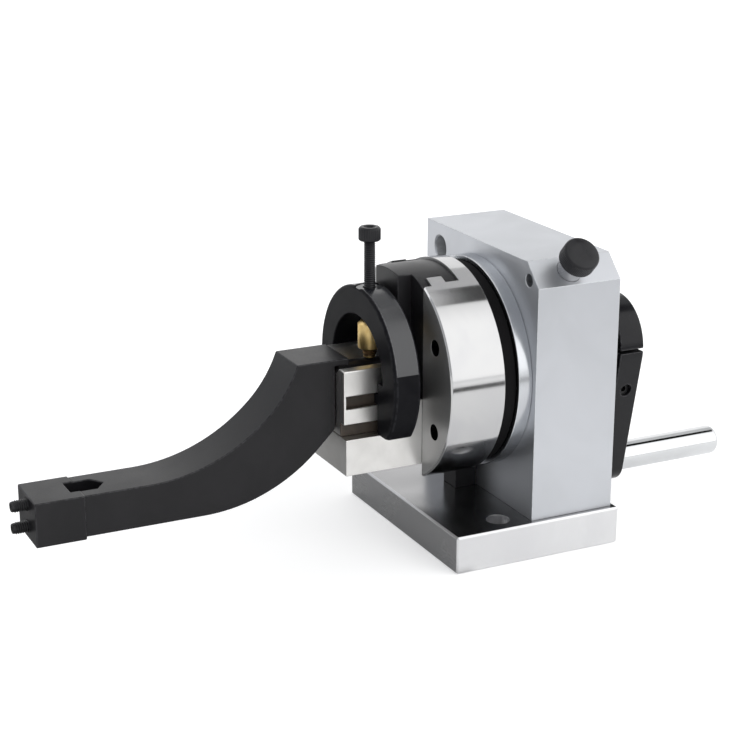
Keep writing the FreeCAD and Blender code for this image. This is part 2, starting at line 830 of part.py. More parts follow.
sketch = new_sketch(body, "XY_Plane", axis)
outline(sketch, tee_outline(
    named("rebate_width") / 2, named("neck_width") / 2, named("tee_width") / 2,
    Size.of(0), head_face - named("rib_height"),
))
pocket(body, sketch, named("head_dia") * 1.2, middle=True)
nose_hole = named("nose_length") + named("face_gap")
sketch = new_sketch(body, "XZ_Plane", ring_face - nose_hole, slide_axis)
circle(sketch, 0, 0, named("nose_dia") / 2 + named("seat_gap"))
pocket(body, sketch, nose_hole)
sketch = new_sketch(body, "XZ_Plane", head_face, slide_axis)
for a, b in corners:
    circle(sketch, head_screw_x * a, head_screw_z * b, named("small_head_dia") / 2 + named("screw_gap"))
pocket(body, sketch, named("head_counterbore_depth"))
sketch = new_sketch(body, "XZ_Plane", head_face, slide_axis)
for a, b in corners:
    circle(sketch, head_screw_x * a, head_screw_z * b, named("small_screw_dia") / 2 + named("screw_gap"))
pocket(body, sketch, named("head_thickness"))
lock_level = (neck_floor + tee_floor) / 2
sketch = new_sketch(body, "YZ_Plane", -named("tee_width") / 2 + named("slide_gap"))
circle(sketch, lock_level, axis, named("set_screw_dia") / 2)
pocket(body, sketch, named("head_dia") / 2)
keep(body, "head_disc")

body = new_body("HeadScrews", compound=True)
seat = head_face + named("head_counterbore_depth")
sketch = new_sketch(body, "XZ_Plane", seat, slide_axis)
for a, b in corners:
    circle(sketch, head_screw_x * a, head_screw_z * b, named("small_head_dia") / 2)
pad(body, sketch, named("small_head_height"))
sketch = new_sketch(body, "XZ_Plane", ring_back - named("face_gap"), slide_axis)
for a, b in corners:
    circle(sketch, head_screw_x * a, head_screw_z * b, named("small_screw_dia") / 2)
pad(body, sketch, ring_back - named("face_gap") - seat)
sketch = new_sketch(body, "XZ_Plane", seat - named("small_head_height"), slide_axis)
for a, b in corners:
    hexagon(sketch, head_screw_x * a, head_screw_z * b, named("hex_size") * 1.25)
pocket(body, sketch, named("small_head_height") / 2)
keep(body, "head_screws")

body = new_body("SlideLockScrew")
screw_tip = -named("tee_width") / 2
sketch = new_sketch(body, "YZ_Plane", screw_tip - named("slide_screw_length"))
circle(sketch, lock_level, axis, named("set_screw_dia") / 2 - named("running_gap"))
pad(body, sketch, named("slide_screw_length"))
sketch = new_sketch(body, "YZ_Plane", screw_tip - named("slide_screw_length") + named("hex_size"))
hexagon(sketch, lock_level, axis, named("hex_size"))
pocket(body, sketch, named("hex_size"))
keep(body, "slide_lock_screw")

# Index plate: round-bottomed notches, one every fifteen degrees
body = new_body("IndexPlate")
sketch = new_sketch(body, "XZ_Plane", notch_back, slide_axis)
circle(sketch, 0, 0, named("index_plate_dia") / 2)
circle(sketch, 0, 0, named("plate_seat_dia") / 2 + named("seat_gap"))
pad(body, sketch, named("index_plate_thickness"))
half_notch = named("notch_width") / 2
mouth = named("index_plate_dia") / 2 + named("notch_width")
sketch = new_sketch(body, "XZ_Plane", notch_front, slide_axis, turn=notch_angle)
outline(sketch, [
    (notch_radius, half_notch),
    (notch_radius - half_notch, 0, half_notch, 1),
    (notch_radius, -half_notch, half_notch, 1),
    (mouth, -half_notch),
    (mouth, half_notch),
])
made = pocket(body, sketch, named("index_plate_thickness"))
polar(body, made, sketch, named("notch_count"))
keep(body, "index_plate")


def slanted_body(name, points):
    """Turned piece on the index axis: points are (radius, distance from the foot)."""
    made_body = new_body(name)
    revolve(made_body, points, plane="XZ_Plane", axis="V_Axis")
    made_body.Placement = Placement(Vector(*[c.value for c in index_foot]), SLANT)
    for letter, part in zip("xyz", index_foot):
        bind(made_body, ".Placement.Base." + letter, part)
    return made_body


sleeve_radius = named("sleeve_dia") / 2
spring_room = sleeve_top - named("sleeve_cap")
body = slanted_body("IndexSleeve", [
    (named("sleeve_bore") / 2, sleeve_bottom),
    (sleeve_radius, sleeve_bottom),
    (sleeve_radius, sleeve_top),
    (named("pin_stem_dia") / 2 + named("screw_gap"), sleeve_top),
    (named("pin_stem_dia") / 2 + named("screw_gap"), spring_room),
    (named("sleeve_bore") / 2, spring_room),
])
keep(body, "index_sleeve")

nose = named("pin_nose_dia") / 2
collar_bottom = sleeve_bottom + named("face_gap")
collar_top = collar_bottom + named("pin_collar_height")
knob_bottom = sleeve_top + named("face_gap")
stem_top = knob_bottom + named("knob_height") * 0.7
guide_bottom = rear_bore + named("face_gap")
body = slanted_body("IndexPin", [
    (0, nose_along - nose),
    (nose, nose_along, nose, 1),
    (nose, guide_bottom),
    (named("pin_guide_dia") / 2, guide_bottom),
    (named("pin_guide_dia") / 2, collar_bottom),
    (named("pin_collar_dia") / 2, collar_bottom),
    (named("pin_collar_dia") / 2, collar_top),
    (named("pin_stem_dia") / 2, collar_top),
    (named("pin_stem_dia") / 2, stem_top),
    (0, stem_top),
])
keep(body, "index_pin")

knob_edge = named("knob_height") / 10
body = slanted_body("IndexKnob", [
    (named("pin_stem_dia") / 2 + named("seat_gap"), knob_bottom),
    (named("knob_dia") / 2 - knob_edge, knob_bottom),
    (named("knob_dia") / 2, knob_bottom + knob_edge),
    (named("knob_dia") / 2, knob_bottom + named("knob_height") - knob_edge),
    (named("knob_dia") / 2 - knob_edge, knob_bottom + named("knob_height")),
    (0, knob_bottom + named("knob_height")),
    (0, stem_top + named("seat_gap")),
    (named("pin_stem_dia") / 2 + named("seat_gap"), stem_top + named("seat_gap")),
])
keep(body, "index_knob")

# The return spring, shown at the length it has with the pin fully pulled
spring_low = (collar_top + named("pin_travel") + named("face_gap")).value
spring_high = spring_room.value
wire = sheet.get("spring_wire") / 2
coil = sheet.get("spring_dia") / 2 - wire
span = spring_high - spring_low - 2 * wire
helix = Part.makeHelix(span / sheet.get("spring_turns"), span, coil)
helix.translate(Vector(0, 0, spring_low + wire))
section = Part.Wire([Part.makeCircle(wire, Vector(coil, 0, spring_low + wire), Vector(0, 1, 0))])
spring = doc.addObject("Part::Feature", "IndexSpring")
spring.Shape = Part.Wire(helix.Edges).makePipeShell([section], True, True)
spring.Placement = Placement(Vector(*[c.value for c in index_foot]), SLANT)
for letter, part in zip("xyz", index_foot):
    bind(spring, ".Placement.Base." + letter, part)
keep(spring, "index_spring")

body = new_body("SleeveLockScrew")
lock_end = block_front + lock_reach - named("running_gap")
lock_start = block_front + named("lock_screw_sunk")
sketch = new_sketch(body, "XZ_Plane", lock_end)
circle(sketch, lock_point[0], lock_point[2], named("lock_screw_dia") / 2)
pad(body, sketch, lock_end - lock_start)
sketch = new_sketch(body, "XZ_Plane", lock_start)
hexagon(sketch, lock_point[0], lock_point[2], named("hex_size"))
pocket(body, sketch, named("hex_size"))
keep(body, "sleeve_lock_screw")

# Slide: T-section with round ends and a rib on its face
gap = named("slide_gap")
slide_radius = named("slide_end_radius")
holder_bottom = axis - named("holder_bottom")
holder_top = holder_bottom + named("holder_height")
upright_top = holder_top + named("upright_height")
body = new_body("TeeSlide")
sketch = new_sketch(body, "XY_Plane", axis)
outline(sketch, tee_outline(
    named("rebate_width") / 2 - gap, named("neck_width") / 2 - gap, named("tee_width") / 2 - gap,
    gap, head_face,
))
pad(body, sketch, slide_radius * 2, middle=True)
sketch = new_sketch(body, "XZ_Plane", head_face)
rectangle(sketch, -named("rib_width") / 2, upright_top, named("rib_width") / 2, axis + slide_radius)
pad(body, sketch, named("rib_height"))
sketch = new_sketch(body, "XZ_Plane", rib_face - gap, slide_axis)
circle(sketch, 0, 0, slide_radius)
circle(sketch, 0, 0, slide_radius * 1.5)
pocket(body, sketch, tee_floor - rib_face + gap * 2)
holder_screw_z = (holder_top + upright_top) / 2
holder_sunk = named("medium_head_height") + named("running_gap")
slide_screw_reach = named("rebate_depth") + named("neck_depth")
sketch = new_sketch(body, "XZ_Plane", head_face)
for side in (-1, 1):
    circle(sketch, named("holder_screw_side") * side, holder_screw_z, named("small_screw_dia") / 2 + named("running_gap"))
pocket(body, sketch, slide_screw_reach + named("face_gap"))
keep(body, "tee_slide")

# Holder: L-shaped bracket
holder_front = head_face - named("holder_length")
body = new_body("VHolder")
sketch = new_sketch(body, "YZ_Plane", 0)
outline(sketch, [
    (holder_front, holder_bottom),
    (head_face, holder_bottom),
    (head_face, upright_top),
    (rib_face, upright_top),
    (rib_face, holder_top),
    (holder_front, holder_top),
])
pad(body, sketch, named("holder_width"), middle=True)
sketch = new_sketch(body, "XZ_Plane", rib_face)
for side in (-1, 1):
    circle(sketch, named("holder_screw_side") * side, holder_screw_z, named("small_screw_dia") / 2 + named("screw_gap"))
pocket(body, sketch, named("rib_height"))
sketch = new_sketch(body, "XZ_Plane", rib_face)
for side in (-1, 1):
    circle(sketch, named("holder_screw_side") * side, holder_screw_z, named("small_head_dia") / 2 + named("screw_gap"))
pocket(body, sketch, holder_sunk)
vblock_back = rib_face - named("face_gap")
vblock_front = vblock_back - named("vblock_length")
vscrew_spots = [vblock_front + named("vblock_screw_front"), vblock_back - named("vblock_screw_back")]
sketch = new_sketch(body, "XY_Plane", holder_top)
for spot in vscrew_spots:
    circle(sketch, 0, spot, named("small_screw_dia") / 2 + named("screw_gap"))
pocket(body, sketch, named("holder_height"))
vscrew_seat = holder_bottom + named("small_head_height") + named("face_gap")
sketch = new_sketch(body, "XY_Plane", vscrew_seat)
for spot in vscrew_spots:
    circle(sketch, 0, spot, named("small_head_dia") / 2 + named("screw_gap"))
pocket(body, sketch, vscrew_seat - holder_bottom)
keep(body, "v_holder")

body = new_body("HolderScrews", compound=True)
sketch = new_sketch(body, "XZ_Plane", rib_face + holder_sunk)
for side in (-1, 1):
    circle(sketch, named("holder_screw_side") * side, holder_screw_z, named("small_head_dia") / 2)
pad(body, sketch, named("medium_head_height"))
sketch = new_sketch(body, "XZ_Plane", head_face + slide_screw_reach)
for side in (-1, 1):
    circle(sketch, named("holder_screw_side") * side, holder_screw_z, named("small_screw_dia") / 2)
pad(body, sketch, head_face + slide_screw_reach - rib_face - holder_sunk)
keep(body, "v_holder_screws")

# V-block: side grooves for the clamp, inset foot, relief at the bottom of the vee
vblock_top = holder_top + named("vblock_height")
half_vblock = named("vblock_width") / 2
groove_low = holder_top + named("groove_bottom")
groove_high = groove_low + named("groove_height")
foot_top = holder_top + named("foot_height")
half_foot = half_vblock - named("foot_inset")
half_groove = half_vblock - named("groove_depth")
vee_bottom = vblock_top - named("vee_half_width")
half_relief = named("relief_width") / 2
relief_floor = vee_bottom - named("relief_depth") + half_relief
right_side = [
    (half_foot, holder_top),
    (half_foot, foot_top),
    (half_vblock, foot_top),
    (half_vblock, vblock_top),
    (named("vee_half_width"), vblock_top),
    (half_relief, vee_bottom + half_relief),
    (half_relief, relief_floor),
]
body = new_body("VBlock")
sketch = new_sketch(body, "XZ_Plane", vblock_back)
outline(sketch, right_side + [(-x, z) for x, z in reversed(right_side)])
pad(body, sketch, named("vblock_length"))
sketch = new_sketch(body, "XZ_Plane", vblock_front + named("groove_end"))
groove_mouth = half_vblock + named("groove_depth")
rectangle(sketch, half_groove, groove_low, groove_mouth, groove_high)
rectangle(sketch, -groove_mouth, groove_low, -half_groove, groove_high)
pocket(body, sketch, named("vblock_length"))
vscrew_top = foot_top + named("small_screw_dia")
sketch = new_sketch(body, "XY_Plane", vscrew_top + named("face_gap"))
for spot in vscrew_spots:
    circle(sketch, 0, spot, named("small_screw_dia") / 2 + named("running_gap"))
pocket(body, sketch, vscrew_top + named("face_gap") - holder_top)
keep(body, "v_block")

body = new_body("VBlockScrews", compound=True)
sketch = new_sketch(body, "XY_Plane", vscrew_seat - named("small_head_height"))
for spot in vscrew_spots:
    circle(sketch, 0, spot, named("small_head_dia") / 2)
pad(body, sketch, named("small_head_height"))
sketch = new_sketch(body, "XY_Plane", vscrew_seat)
for spot in vscrew_spots:
    circle(sketch, 0, spot, named("small_screw_dia") / 2)
pad(body, sketch, vscrew_top - vscrew_seat)
keep(body, "v_block_screws")

# Clamp yoke: horseshoe whose tongues ride in the V-block's grooves
yoke_z = axis + named("yoke_rise")
yoke_back = vblock_back - named("yoke_behind")
yoke_front = yoke_back - named("yoke_thickness")
yoke_mid = (yoke_back + yoke_front) / 2
yoke_radius = named("yoke_radius")
yoke_bore = named("yoke_bore_radius")
foot_z = yoke_z - named("yoke_foot_drop")
foot_x = root(yoke_radius * yoke_radius - named("yoke_foot_drop") * named("yoke_foot_drop"))
leg = half_vblock + named("yoke_side_gap")
tongue = half_groove + named("tongue_tip_gap")
tongue_low = groove_low + named("tongue_gap")
tongue_high = groove_high - named("tongue_gap")
body = new_body("ClampYoke")
sketch = new_sketch(body, "XZ_Plane", yoke_back)
outline(sketch, [
    (leg, foot_z),
    (foot_x, foot_z),
    (-foot_x, foot_z, yoke_radius, 2),
    (-leg, foot_z),
    (-leg, tongue_low),
    (-tongue, tongue_low),
    (-tongue, tongue_high),
    (-leg, tongue_high),
    (-leg, yoke_z),
    (-yoke_bore, yoke_z),
    (0, yoke_z + yoke_bore, yoke_bore, -1),
    (yoke_bore, yoke_z, yoke_bore, -1),
    (leg, yoke_z),
    (leg, tongue_high),
    (tongue, tongue_high),
    (tongue, tongue_low),
    (leg, tongue_low),
])
pad(body, sketch, named("yoke_thickness"))
rim = yoke_radius.value
chamfer(body, named("yoke_chamfer"), lambda edge: (
    edge.Curve.TypeId == "Part::GeomCircle" and abs(edge.Curve.Radius - rim) < 1e-4
))
clamp_radius = named("clamp_screw_dia") / 2
sketch = new_sketch(body, "XY_Plane", yoke_z + yoke_radius)
circle(sketch, 0, yoke_mid, clamp_radius + named("running_gap"))
pocket(body, sketch, yoke_radius - yoke_bore * 0.8)
sketch = new_sketch(body, "XY_Plane", yoke_z + yoke_radius)
circle(sketch, 0, yoke_mid, named("spotface_dia") / 2)
pocket(body, sketch, named("spotface_depth"))
keep(body, "clamp_yoke")

# Shank in the vee, pad above it, clamp screw above the pad
shank_radius = named("shank_dia") / 2
shank_z = vee_bottom + shank_radius * math.sqrt(2) + named("vee_gap")
pad_bottom = shank_z + shank_radius + named("pad_gap")
pad_shoulder = pad_bottom + named("pad_nose_length")
pad_top = pad_shoulder + named("pad_length")
spigot_bottom = pad_top - named("clamp_spigot_length")
pad_bore = named("clamp_spigot_dia") / 2 + named("running_gap")
body = new_body("ClampPad")
revolve(body, [
    (0, pad_bottom),
    (named("pad_nose_dia") / 2, pad_bottom),
    (named("pad_nose_dia") / 2, pad_shoulder),
    (named("pad_dia") / 2, pad_shoulder),
    (named("pad_dia") / 2, pad_top - named("pad_edge")),
    (named("pad_dia") / 2 - named("pad_edge"), pad_top),
    (pad_bore, pad_top),
    (pad_bore, spigot_bottom - named("running_gap")),
    (0, spigot_bottom - named("running_gap")),
], level=yoke_mid, plane="XZ_Plane", axis="V_Axis")
keep(body, "clamp_pad")

screw_shoulder = pad_top + named("running_gap")
head_bottom = screw_shoulder + named("clamp_screw_length")
head_top = head_bottom + named("clamp_head_height")
head_radius = named("clamp_head_dia") / 2
bevel = named("clamp_head_height") / 10
body = new_body("ClampScrew")
revolve(body, [
    (0, spigot_bottom),
    (named("clamp_spigot_dia") / 2, spigot_bottom),
    (named("clamp_spigot_dia") / 2, screw_shoulder),
    (clamp_radius, screw_shoulder),
    (clamp_radius, head_bottom),
    (head_radius - bevel, head_bottom),
    (head_radius, head_bottom + bevel),
    (head_radius, head_top - bevel),
    (head_radius - bevel, head_top),
    (0, head_top),
], level=yoke_mid, plane="XZ_Plane", axis="V_Axis")
keep(body, "clamp_screw")

# Dresser arm, drawn from the side
arm_back = vblock_front - named("lip_gap")
lip_low = vblock_top + named("lip_gap")
lip_top = lip_low + named("lip_thickness")
lip_end = vblock_front + named("lip_reach")
pad_front = lip_end - named("lip_reach") - named("arm_pad_length") + named("face_gap")
arm_end = arm_back - named("arm_reach")
beam_bottom = named("arm_beam_bottom")
beam_top = beam_bottom + named("arm_beam_height")
turn_angle = named("arm_turn")
flat_start = arm_back - named("arm_flat_start")
middle_r = named("arm_middle_radius")
upper_r = named("arm_upper_radius")
under_r = named("arm_under_radius")
bend_y = flat_start + middle_r * sine(turn_angle)
bend_z = beam_top + middle_r * (1 - cosine(turn_angle))
upper_cy = bend_y - upper_r * sine(turn_angle)
upper_cz = bend_z + upper_r * cosine(turn_angle)
drop = upper_cz - lip_top
brow_y = upper_cy + root(upper_r * upper_r - drop * drop)
under_low = arm_back - named("arm_back_drop")
heel_z = lip_low - named("arm_back_drop")
under_z = beam_bottom + under_r * (1 - cosine(turn_angle))
under_y = arm_back - (heel_z - under_z)
under_flat = under_y - under_r * sine(turn_angle)
block_start = arm_end + named("end_block_length")
proud = named("end_block_proud")
rise = named("end_block_rise")
body = new_body("DresserArm")
sketch = new_sketch(body, "YZ_Plane", 0)
outline(sketch, [
    (lip_end, lip_low),
    (lip_end, lip_top),
    (brow_y, lip_top),
    (bend_y, bend_z, upper_r, -1),
    (flat_start, beam_top, middle_r, -1),
    (block_start, beam_top),
    (block_start, beam_bottom),
    (under_flat, beam_bottom),
    (under_y, under_z, under_r, 1),
    (arm_back, heel_z),
    (arm_back, lip_low),
])
pad(body, sketch, named("arm_width"), middle=True)
sketch = new_sketch(body, "YZ_Plane", 0)
rectangle(sketch, arm_end, beam_bottom - proud, block_start, beam_top + rise)
pad(body, sketch, named("arm_width") + proud * 2, middle=True)
sketch = new_sketch(body, "XZ_Plane", arm_back - named("shank_socket"))
circle(sketch, 0, shank_z, shank_radius + named("seat_gap"))
pocket(body, sketch, named("shank_socket"))
pocket_front = arm_end + named("pocket_from_end")
pocket_back = pocket_front + named("pocket_length")
half_pocket = named("pocket_width") / 2
sketch = new_sketch(body, "XY_Plane", beam_top + rise)
outline(sketch, [
    (-half_pocket, pocket_front),
    (half_pocket, pocket_front),
    (half_pocket, pocket_back),
    (0, pocket_back + named("pocket_point")),
    (-half_pocket, pocket_back),
])
pocket(body, sketch, named("arm_beam_height") + proud + rise)
beam_mid = (beam_bottom + beam_top) / 2
set_levels = [beam_mid + named("set_screw_spacing") / 2, beam_mid - named("set_screw_spacing") / 2]
sketch = new_sketch(body, "XZ_Plane", arm_end)
for level in set_levels:
    circle(sketch, 0, level, named("set_screw_dia") / 2 + named("running_gap"))
pocket(body, sketch, named("pocket_from_end"))
keep(body, "dresser_arm")

shank = cylinder(
    "ArmShank", shank_radius, named("shank_length"),
    (0, arm_back - named("shank_socket") + named("seat_gap"), shank_z), TO_BACK,
)
keep(shank, "arm_shank")

set_outer = arm_end - named("set_screw_out")
for name, label, level in (
    ("UpperSetScrew", "upper_set_screw", set_levels[0]),
    ("LowerSetScrew", "lower_set_screw", set_levels[1]),
):
    body = new_body(name)
    sketch = new_sketch(body, "XZ_Plane", set_outer + named("set_screw_length"))
    circle(sketch, 0, level, named("set_screw_dia") / 2)
    pad(body, sketch, named("set_screw_length"))
    sketch = new_sketch(body, "XZ_Plane", set_outer)
    hexagon(sketch, 0, level, named("hex_size"))
    pocket(body, sketch, named("hex_size"))
    keep(body, label)

# Thrust washer, pear-shaped crank, its screws and the handle bar
shaft_radius = named("shaft_end_dia") / 2
body = new_body("ThrustWasher")
sketch = new_sketch(body, "XZ_Plane", crank_front, slide_axis)
circle(sketch, 0, 0, named("washer_dia") / 2)
circle(sketch, 0, 0, shaft_radius + named("screw_gap"))
pad(body, sketch, named("washer_thickness"))
keep(body, "thrust_washer")

hub = named("crank_hub_radius")
tip = named("crank_tip_radius")
throw = named("crank_throw")
lean = (hub - tip) / throw
flank = root(1 - lean * lean)
body = new_body("Crank")
sketch = new_sketch(body, "XZ_Plane", crank_back, slide_axis)
outline(sketch, [
    (hub * flank, -hub * lean),
    (-hub * flank, -hub * lean, hub, 2),
    (-tip * flank, -throw - tip * lean),
    (tip * flank, -throw - tip * lean, tip, 1),
])
pad(body, sketch, named("crank_thickness"))
sketch = new_sketch(body, "XZ_Plane", plate_front, slide_axis)
circle(sketch, 0, 0, named("boss_dia") / 2)
pad(body, sketch, named("boss_length"))
sketch = new_sketch(body, "XZ_Plane", crank_front, slide_axis)
circle(sketch, 0, 0, shaft_radius + named("seat_gap"))
pocket(body, sketch, named("boss_length") + named("crank_thickness"))
washer_seat = crank_back - named("end_washer_thickness") - named("running_gap")
sketch = new_sketch(body, "XZ_Plane", washer_seat, slide_axis)
circle(sketch, 0, 0, named("end_washer_dia") / 2 + named("screw_gap"))
pocket(body, sketch, named("end_washer_thickness") + named("running_gap"))
sketch = new_sketch(body, "XZ_Plane", crank_back - named("handle_spigot_length") - named("seat_gap"), slide_axis)
circle(sketch, 0, -throw, named("handle_spigot_dia") / 2 + named("seat_gap"))
pocket(body, sketch, named("handle_spigot_length") + named("seat_gap"))
half_slit = named("slit_width") / 2
sketch = new_sketch(body, "XZ_Plane", crank_front, slide_axis)
rectangle(sketch, 0, -half_slit, hub * 1.2, half_slit)
pocket(body, sketch, named("boss_length") + named("crank_thickness"))
side_level = (plate_front + crank_back) / 2
side_z = axis - named("side_screw_drop")
side_face = hub - named("side_screw_drop") * lean
side_start = side_face - named("side_screw_sunk")
side_end = side_start - named("side_screw_length")
sketch = new_sketch(body, "YZ_Plane", hub)
circle(sketch, side_level, side_z, named("side_screw_dia") / 2 + named("running_gap"))
pocket(body, sketch, hub - side_end + named("face_gap"))
keep(body, "crank")

body = new_body("CrankSideScrew")
sketch = new_sketch(body, "YZ_Plane", side_end)
circle(sketch, side_level, side_z, named("side_screw_dia") / 2)
pad(body, sketch, named("side_screw_length"))
sketch = new_sketch(body, "YZ_Plane", side_start)
hexagon(sketch, side_level, side_z, named("hex_size"))
pocket(body, sketch, named("hex_size"))
keep(body, "crank_side_screw")

washer_back = washer_seat + named("end_washer_thickness")
sink = named("end_washer_thickness")
body = new_body("EndWasher")
revolve(body, [
    (washer_seat, end_screw_radius + named("running_gap")),
    (washer_seat, named("end_washer_dia") / 2),
    (washer_back, named("end_washer_dia") / 2),
    (washer_back, end_screw_radius + named("running_gap") + sink),
], shift=(0, axis))
keep(body, "crank_end_washer")
body = new_body("EndScrew")
revolve(body, [
    (tapped_end + named("face_gap"), 0),
    (tapped_end + named("face_gap"), end_screw_radius),
    (washer_seat, end_screw_radius),
    (washer_back, end_screw_radius + sink),
    (washer_back, 0),
], shift=(0, axis))
sketch = new_sketch(body, "XZ_Plane", washer_back - sink * 0.7, slide_axis)
hexagon(sketch, 0, 0, named("hex_size"))
pocket(body, sketch, sink)
keep(body, "crank_end_screw")

handle_radius = named("handle_dia") / 2
handle_end = crank_back + named("handle_length")
handle_edge = named("handle_round")
body = new_body("HandleBar")
revolve(body, [
    (crank_back - named("handle_spigot_length"), 0),
    (crank_back - named("handle_spigot_length"), named("handle_spigot_dia") / 2),
    (crank_back, named("handle_spigot_dia") / 2),
    (crank_back, handle_radius),
    (handle_end - handle_edge, handle_radius),
    (handle_end, handle_radius - handle_edge, handle_edge, -1),
    (handle_end, 0),
], shift=(0, axis - throw))
keep(body, "handle_bar")

doc.recompute()
for item in doc.Objects:
    if "Invalid" in item.State or "Error" in item.State:
        raise ValueError("%s (%s) failed: %s" % (item.Name, item.Label, item.State))
for label, item in NODES.items():
    if item.Shape.isNull() or not item.Shape.isValid() or not item.Shape.Solids:
        raise ValueError("%s has no valid solid" % label)

os.makedirs("parts", exist_ok=True)
for label, item in NODES.items():
    item.Shape.exportStep("parts/%s.step" % label)
print("%d nodes, %d solids" % (len(NODES), sum(len(i.Shape.Solids) for i in NODES.values())))
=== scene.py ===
# %% [markdown]
# # A hand-cranked punch former, dressed for its picture
#
# The real object is a small grinding fixture: a ground base and block, a round head with a slot, a horseshoe
# clamp over a V-block, a long black arm, and a crank with a bright handle behind. Its solids were drawn
# elsewhere and packed, one solid per loose part, so nothing has to be placed again here.
#
# This notebook could rebuild every part from nothing, or keep the solids and give them only colour. It does
# something between the two. Parts whose shape is right are copied with their edges softened, and the ones that
# live from fine detail, such as threads and knurls, are built anew in the same place.

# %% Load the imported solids
import json
import math
import bmesh
import bpy
from mathutils import Matrix, Vector

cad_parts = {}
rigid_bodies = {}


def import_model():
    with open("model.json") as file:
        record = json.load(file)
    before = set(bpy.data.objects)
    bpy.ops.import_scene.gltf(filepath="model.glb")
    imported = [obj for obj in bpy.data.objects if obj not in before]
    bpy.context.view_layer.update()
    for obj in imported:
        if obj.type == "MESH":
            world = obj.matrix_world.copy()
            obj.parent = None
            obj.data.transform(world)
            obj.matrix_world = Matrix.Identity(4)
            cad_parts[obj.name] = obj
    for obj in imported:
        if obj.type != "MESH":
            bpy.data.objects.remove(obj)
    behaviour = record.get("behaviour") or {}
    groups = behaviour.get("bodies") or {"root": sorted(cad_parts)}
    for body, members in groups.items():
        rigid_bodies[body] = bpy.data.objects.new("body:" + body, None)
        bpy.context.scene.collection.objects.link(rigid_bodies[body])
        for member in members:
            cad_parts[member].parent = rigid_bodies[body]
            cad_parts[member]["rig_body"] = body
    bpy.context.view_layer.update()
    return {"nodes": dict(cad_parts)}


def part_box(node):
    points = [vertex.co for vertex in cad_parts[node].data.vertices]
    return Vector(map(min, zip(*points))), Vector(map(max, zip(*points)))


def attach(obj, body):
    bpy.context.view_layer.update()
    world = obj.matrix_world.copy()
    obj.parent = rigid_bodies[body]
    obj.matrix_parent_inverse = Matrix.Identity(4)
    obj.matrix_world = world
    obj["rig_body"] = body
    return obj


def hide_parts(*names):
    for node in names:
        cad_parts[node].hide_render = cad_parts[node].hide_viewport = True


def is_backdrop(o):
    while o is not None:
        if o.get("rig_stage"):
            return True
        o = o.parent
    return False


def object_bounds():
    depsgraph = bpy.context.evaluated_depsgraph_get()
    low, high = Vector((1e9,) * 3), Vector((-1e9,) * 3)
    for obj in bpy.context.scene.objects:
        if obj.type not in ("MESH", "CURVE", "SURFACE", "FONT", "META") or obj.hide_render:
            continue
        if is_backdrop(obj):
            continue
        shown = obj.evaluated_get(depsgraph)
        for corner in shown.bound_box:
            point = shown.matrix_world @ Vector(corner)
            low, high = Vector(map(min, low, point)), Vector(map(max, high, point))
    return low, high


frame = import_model()
solids = frame["nodes"]
MM = 0.001

# %% [markdown]
# ## Effects shared by the finishes
#
# Every metal on the object shows the tool that made it. A grinding wheel leaves straight lines, a lathe leaves
# rings, blackening leaves a fine grain, and hands leave faint patches and bright corners.
#
# Each of these could be painted into each material, but the same effect would then be written a dozen times.
# They are node groups instead: small boxes with named inputs that every material sets in its own way. They
# measure the surface in the object's own millimetres, so the marks stay put when a part moves.


# %% Helpers that make a node group and join nodes
def effect(title, inputs, outputs):
    group = bpy.data.node_groups.new(title, "ShaderNodeTree")
    for name, kind, value in inputs:
        socket = group.interface.new_socket(name=name, in_out="INPUT", socket_type=kind)
        socket.default_value = value
    for name, kind in outputs:
        group.interface.new_socket(name=name, in_out="OUTPUT", socket_type=kind)
    return group, group.nodes.new("NodeGroupInput"), group.nodes.new("NodeGroupOutput")


def add(tree, kind, **settings):
    made = tree.nodes.new(kind)
    for name, value in settings.items():
        setattr(made, name, value)
    return made


def millimetres(tree):
    """The surface point in the object's own millimetres."""
    place = add(tree, "ShaderNodeTexCoord")
    scale = add(tree, "ShaderNodeVectorMath", operation="SCALE")
    scale.inputs["Scale"].default_value = 1 / MM
    tree.links.new(place.outputs["Object"], scale.inputs[0])
    return scale.outputs[0]


FLOAT, VECTOR = "NodeSocketFloat", "NodeSocketVector"

# %% [markdown]
# ### Grinding lines
#
# A surface grinder draws hundreds of fine parallel scratches. A wave texture would space them evenly, which no
# wheel does. Noise that is stretched a hundred times along one direction gives scratches of uneven strength
# that start and stop, which is nearer to the real thing.


# %% Build the grinding lines
def build_grinding_lines():
    group, given, result = effect(
        "grinding_lines",
        [("Fineness", VECTOR, (0.15, 14.0, 14.0))],
        [("Height", FLOAT), ("Mask", FLOAT)],
    )
    stretch = add(group, "ShaderNodeVectorMath", operation="MULTIPLY")
    group.links.new(millimetres(group), stretch.inputs[0])
    group.links.new(given.outputs["Fineness"], stretch.inputs[1])
    noise = add(group, "ShaderNodeTexNoise")
    noise.inputs["Scale"].default_value = 1.0
    noise.inputs["Detail"].default_value = 4.0
    noise.inputs["Roughness"].default_value = 0.65
    group.links.new(stretch.outputs[0], noise.inputs["Vector"])
    spread = add(group, "ShaderNodeMapRange")
    spread.inputs["From Min"].default_value = 0.3
    spread.inputs["From Max"].default_value = 0.7
    group.links.new(noise.outputs["Fac"], spread.inputs["Value"])
    group.links.new(noise.outputs["Fac"], result.inputs["Height"])
    group.links.new(spread.outputs["Result"], result.inputs["Mask"])
    return group


grinding_lines = build_grinding_lines()
print("made", grinding_lines.name)

# %% [markdown]
# ### Lathe rings
#
# On a turned part each mark runs round the axis. The height of a mark then depends only on the distance from
# the axis and the place along it, not on the angle. So the two numbers are worked out first, and noise reads
# them in place of the plain position.


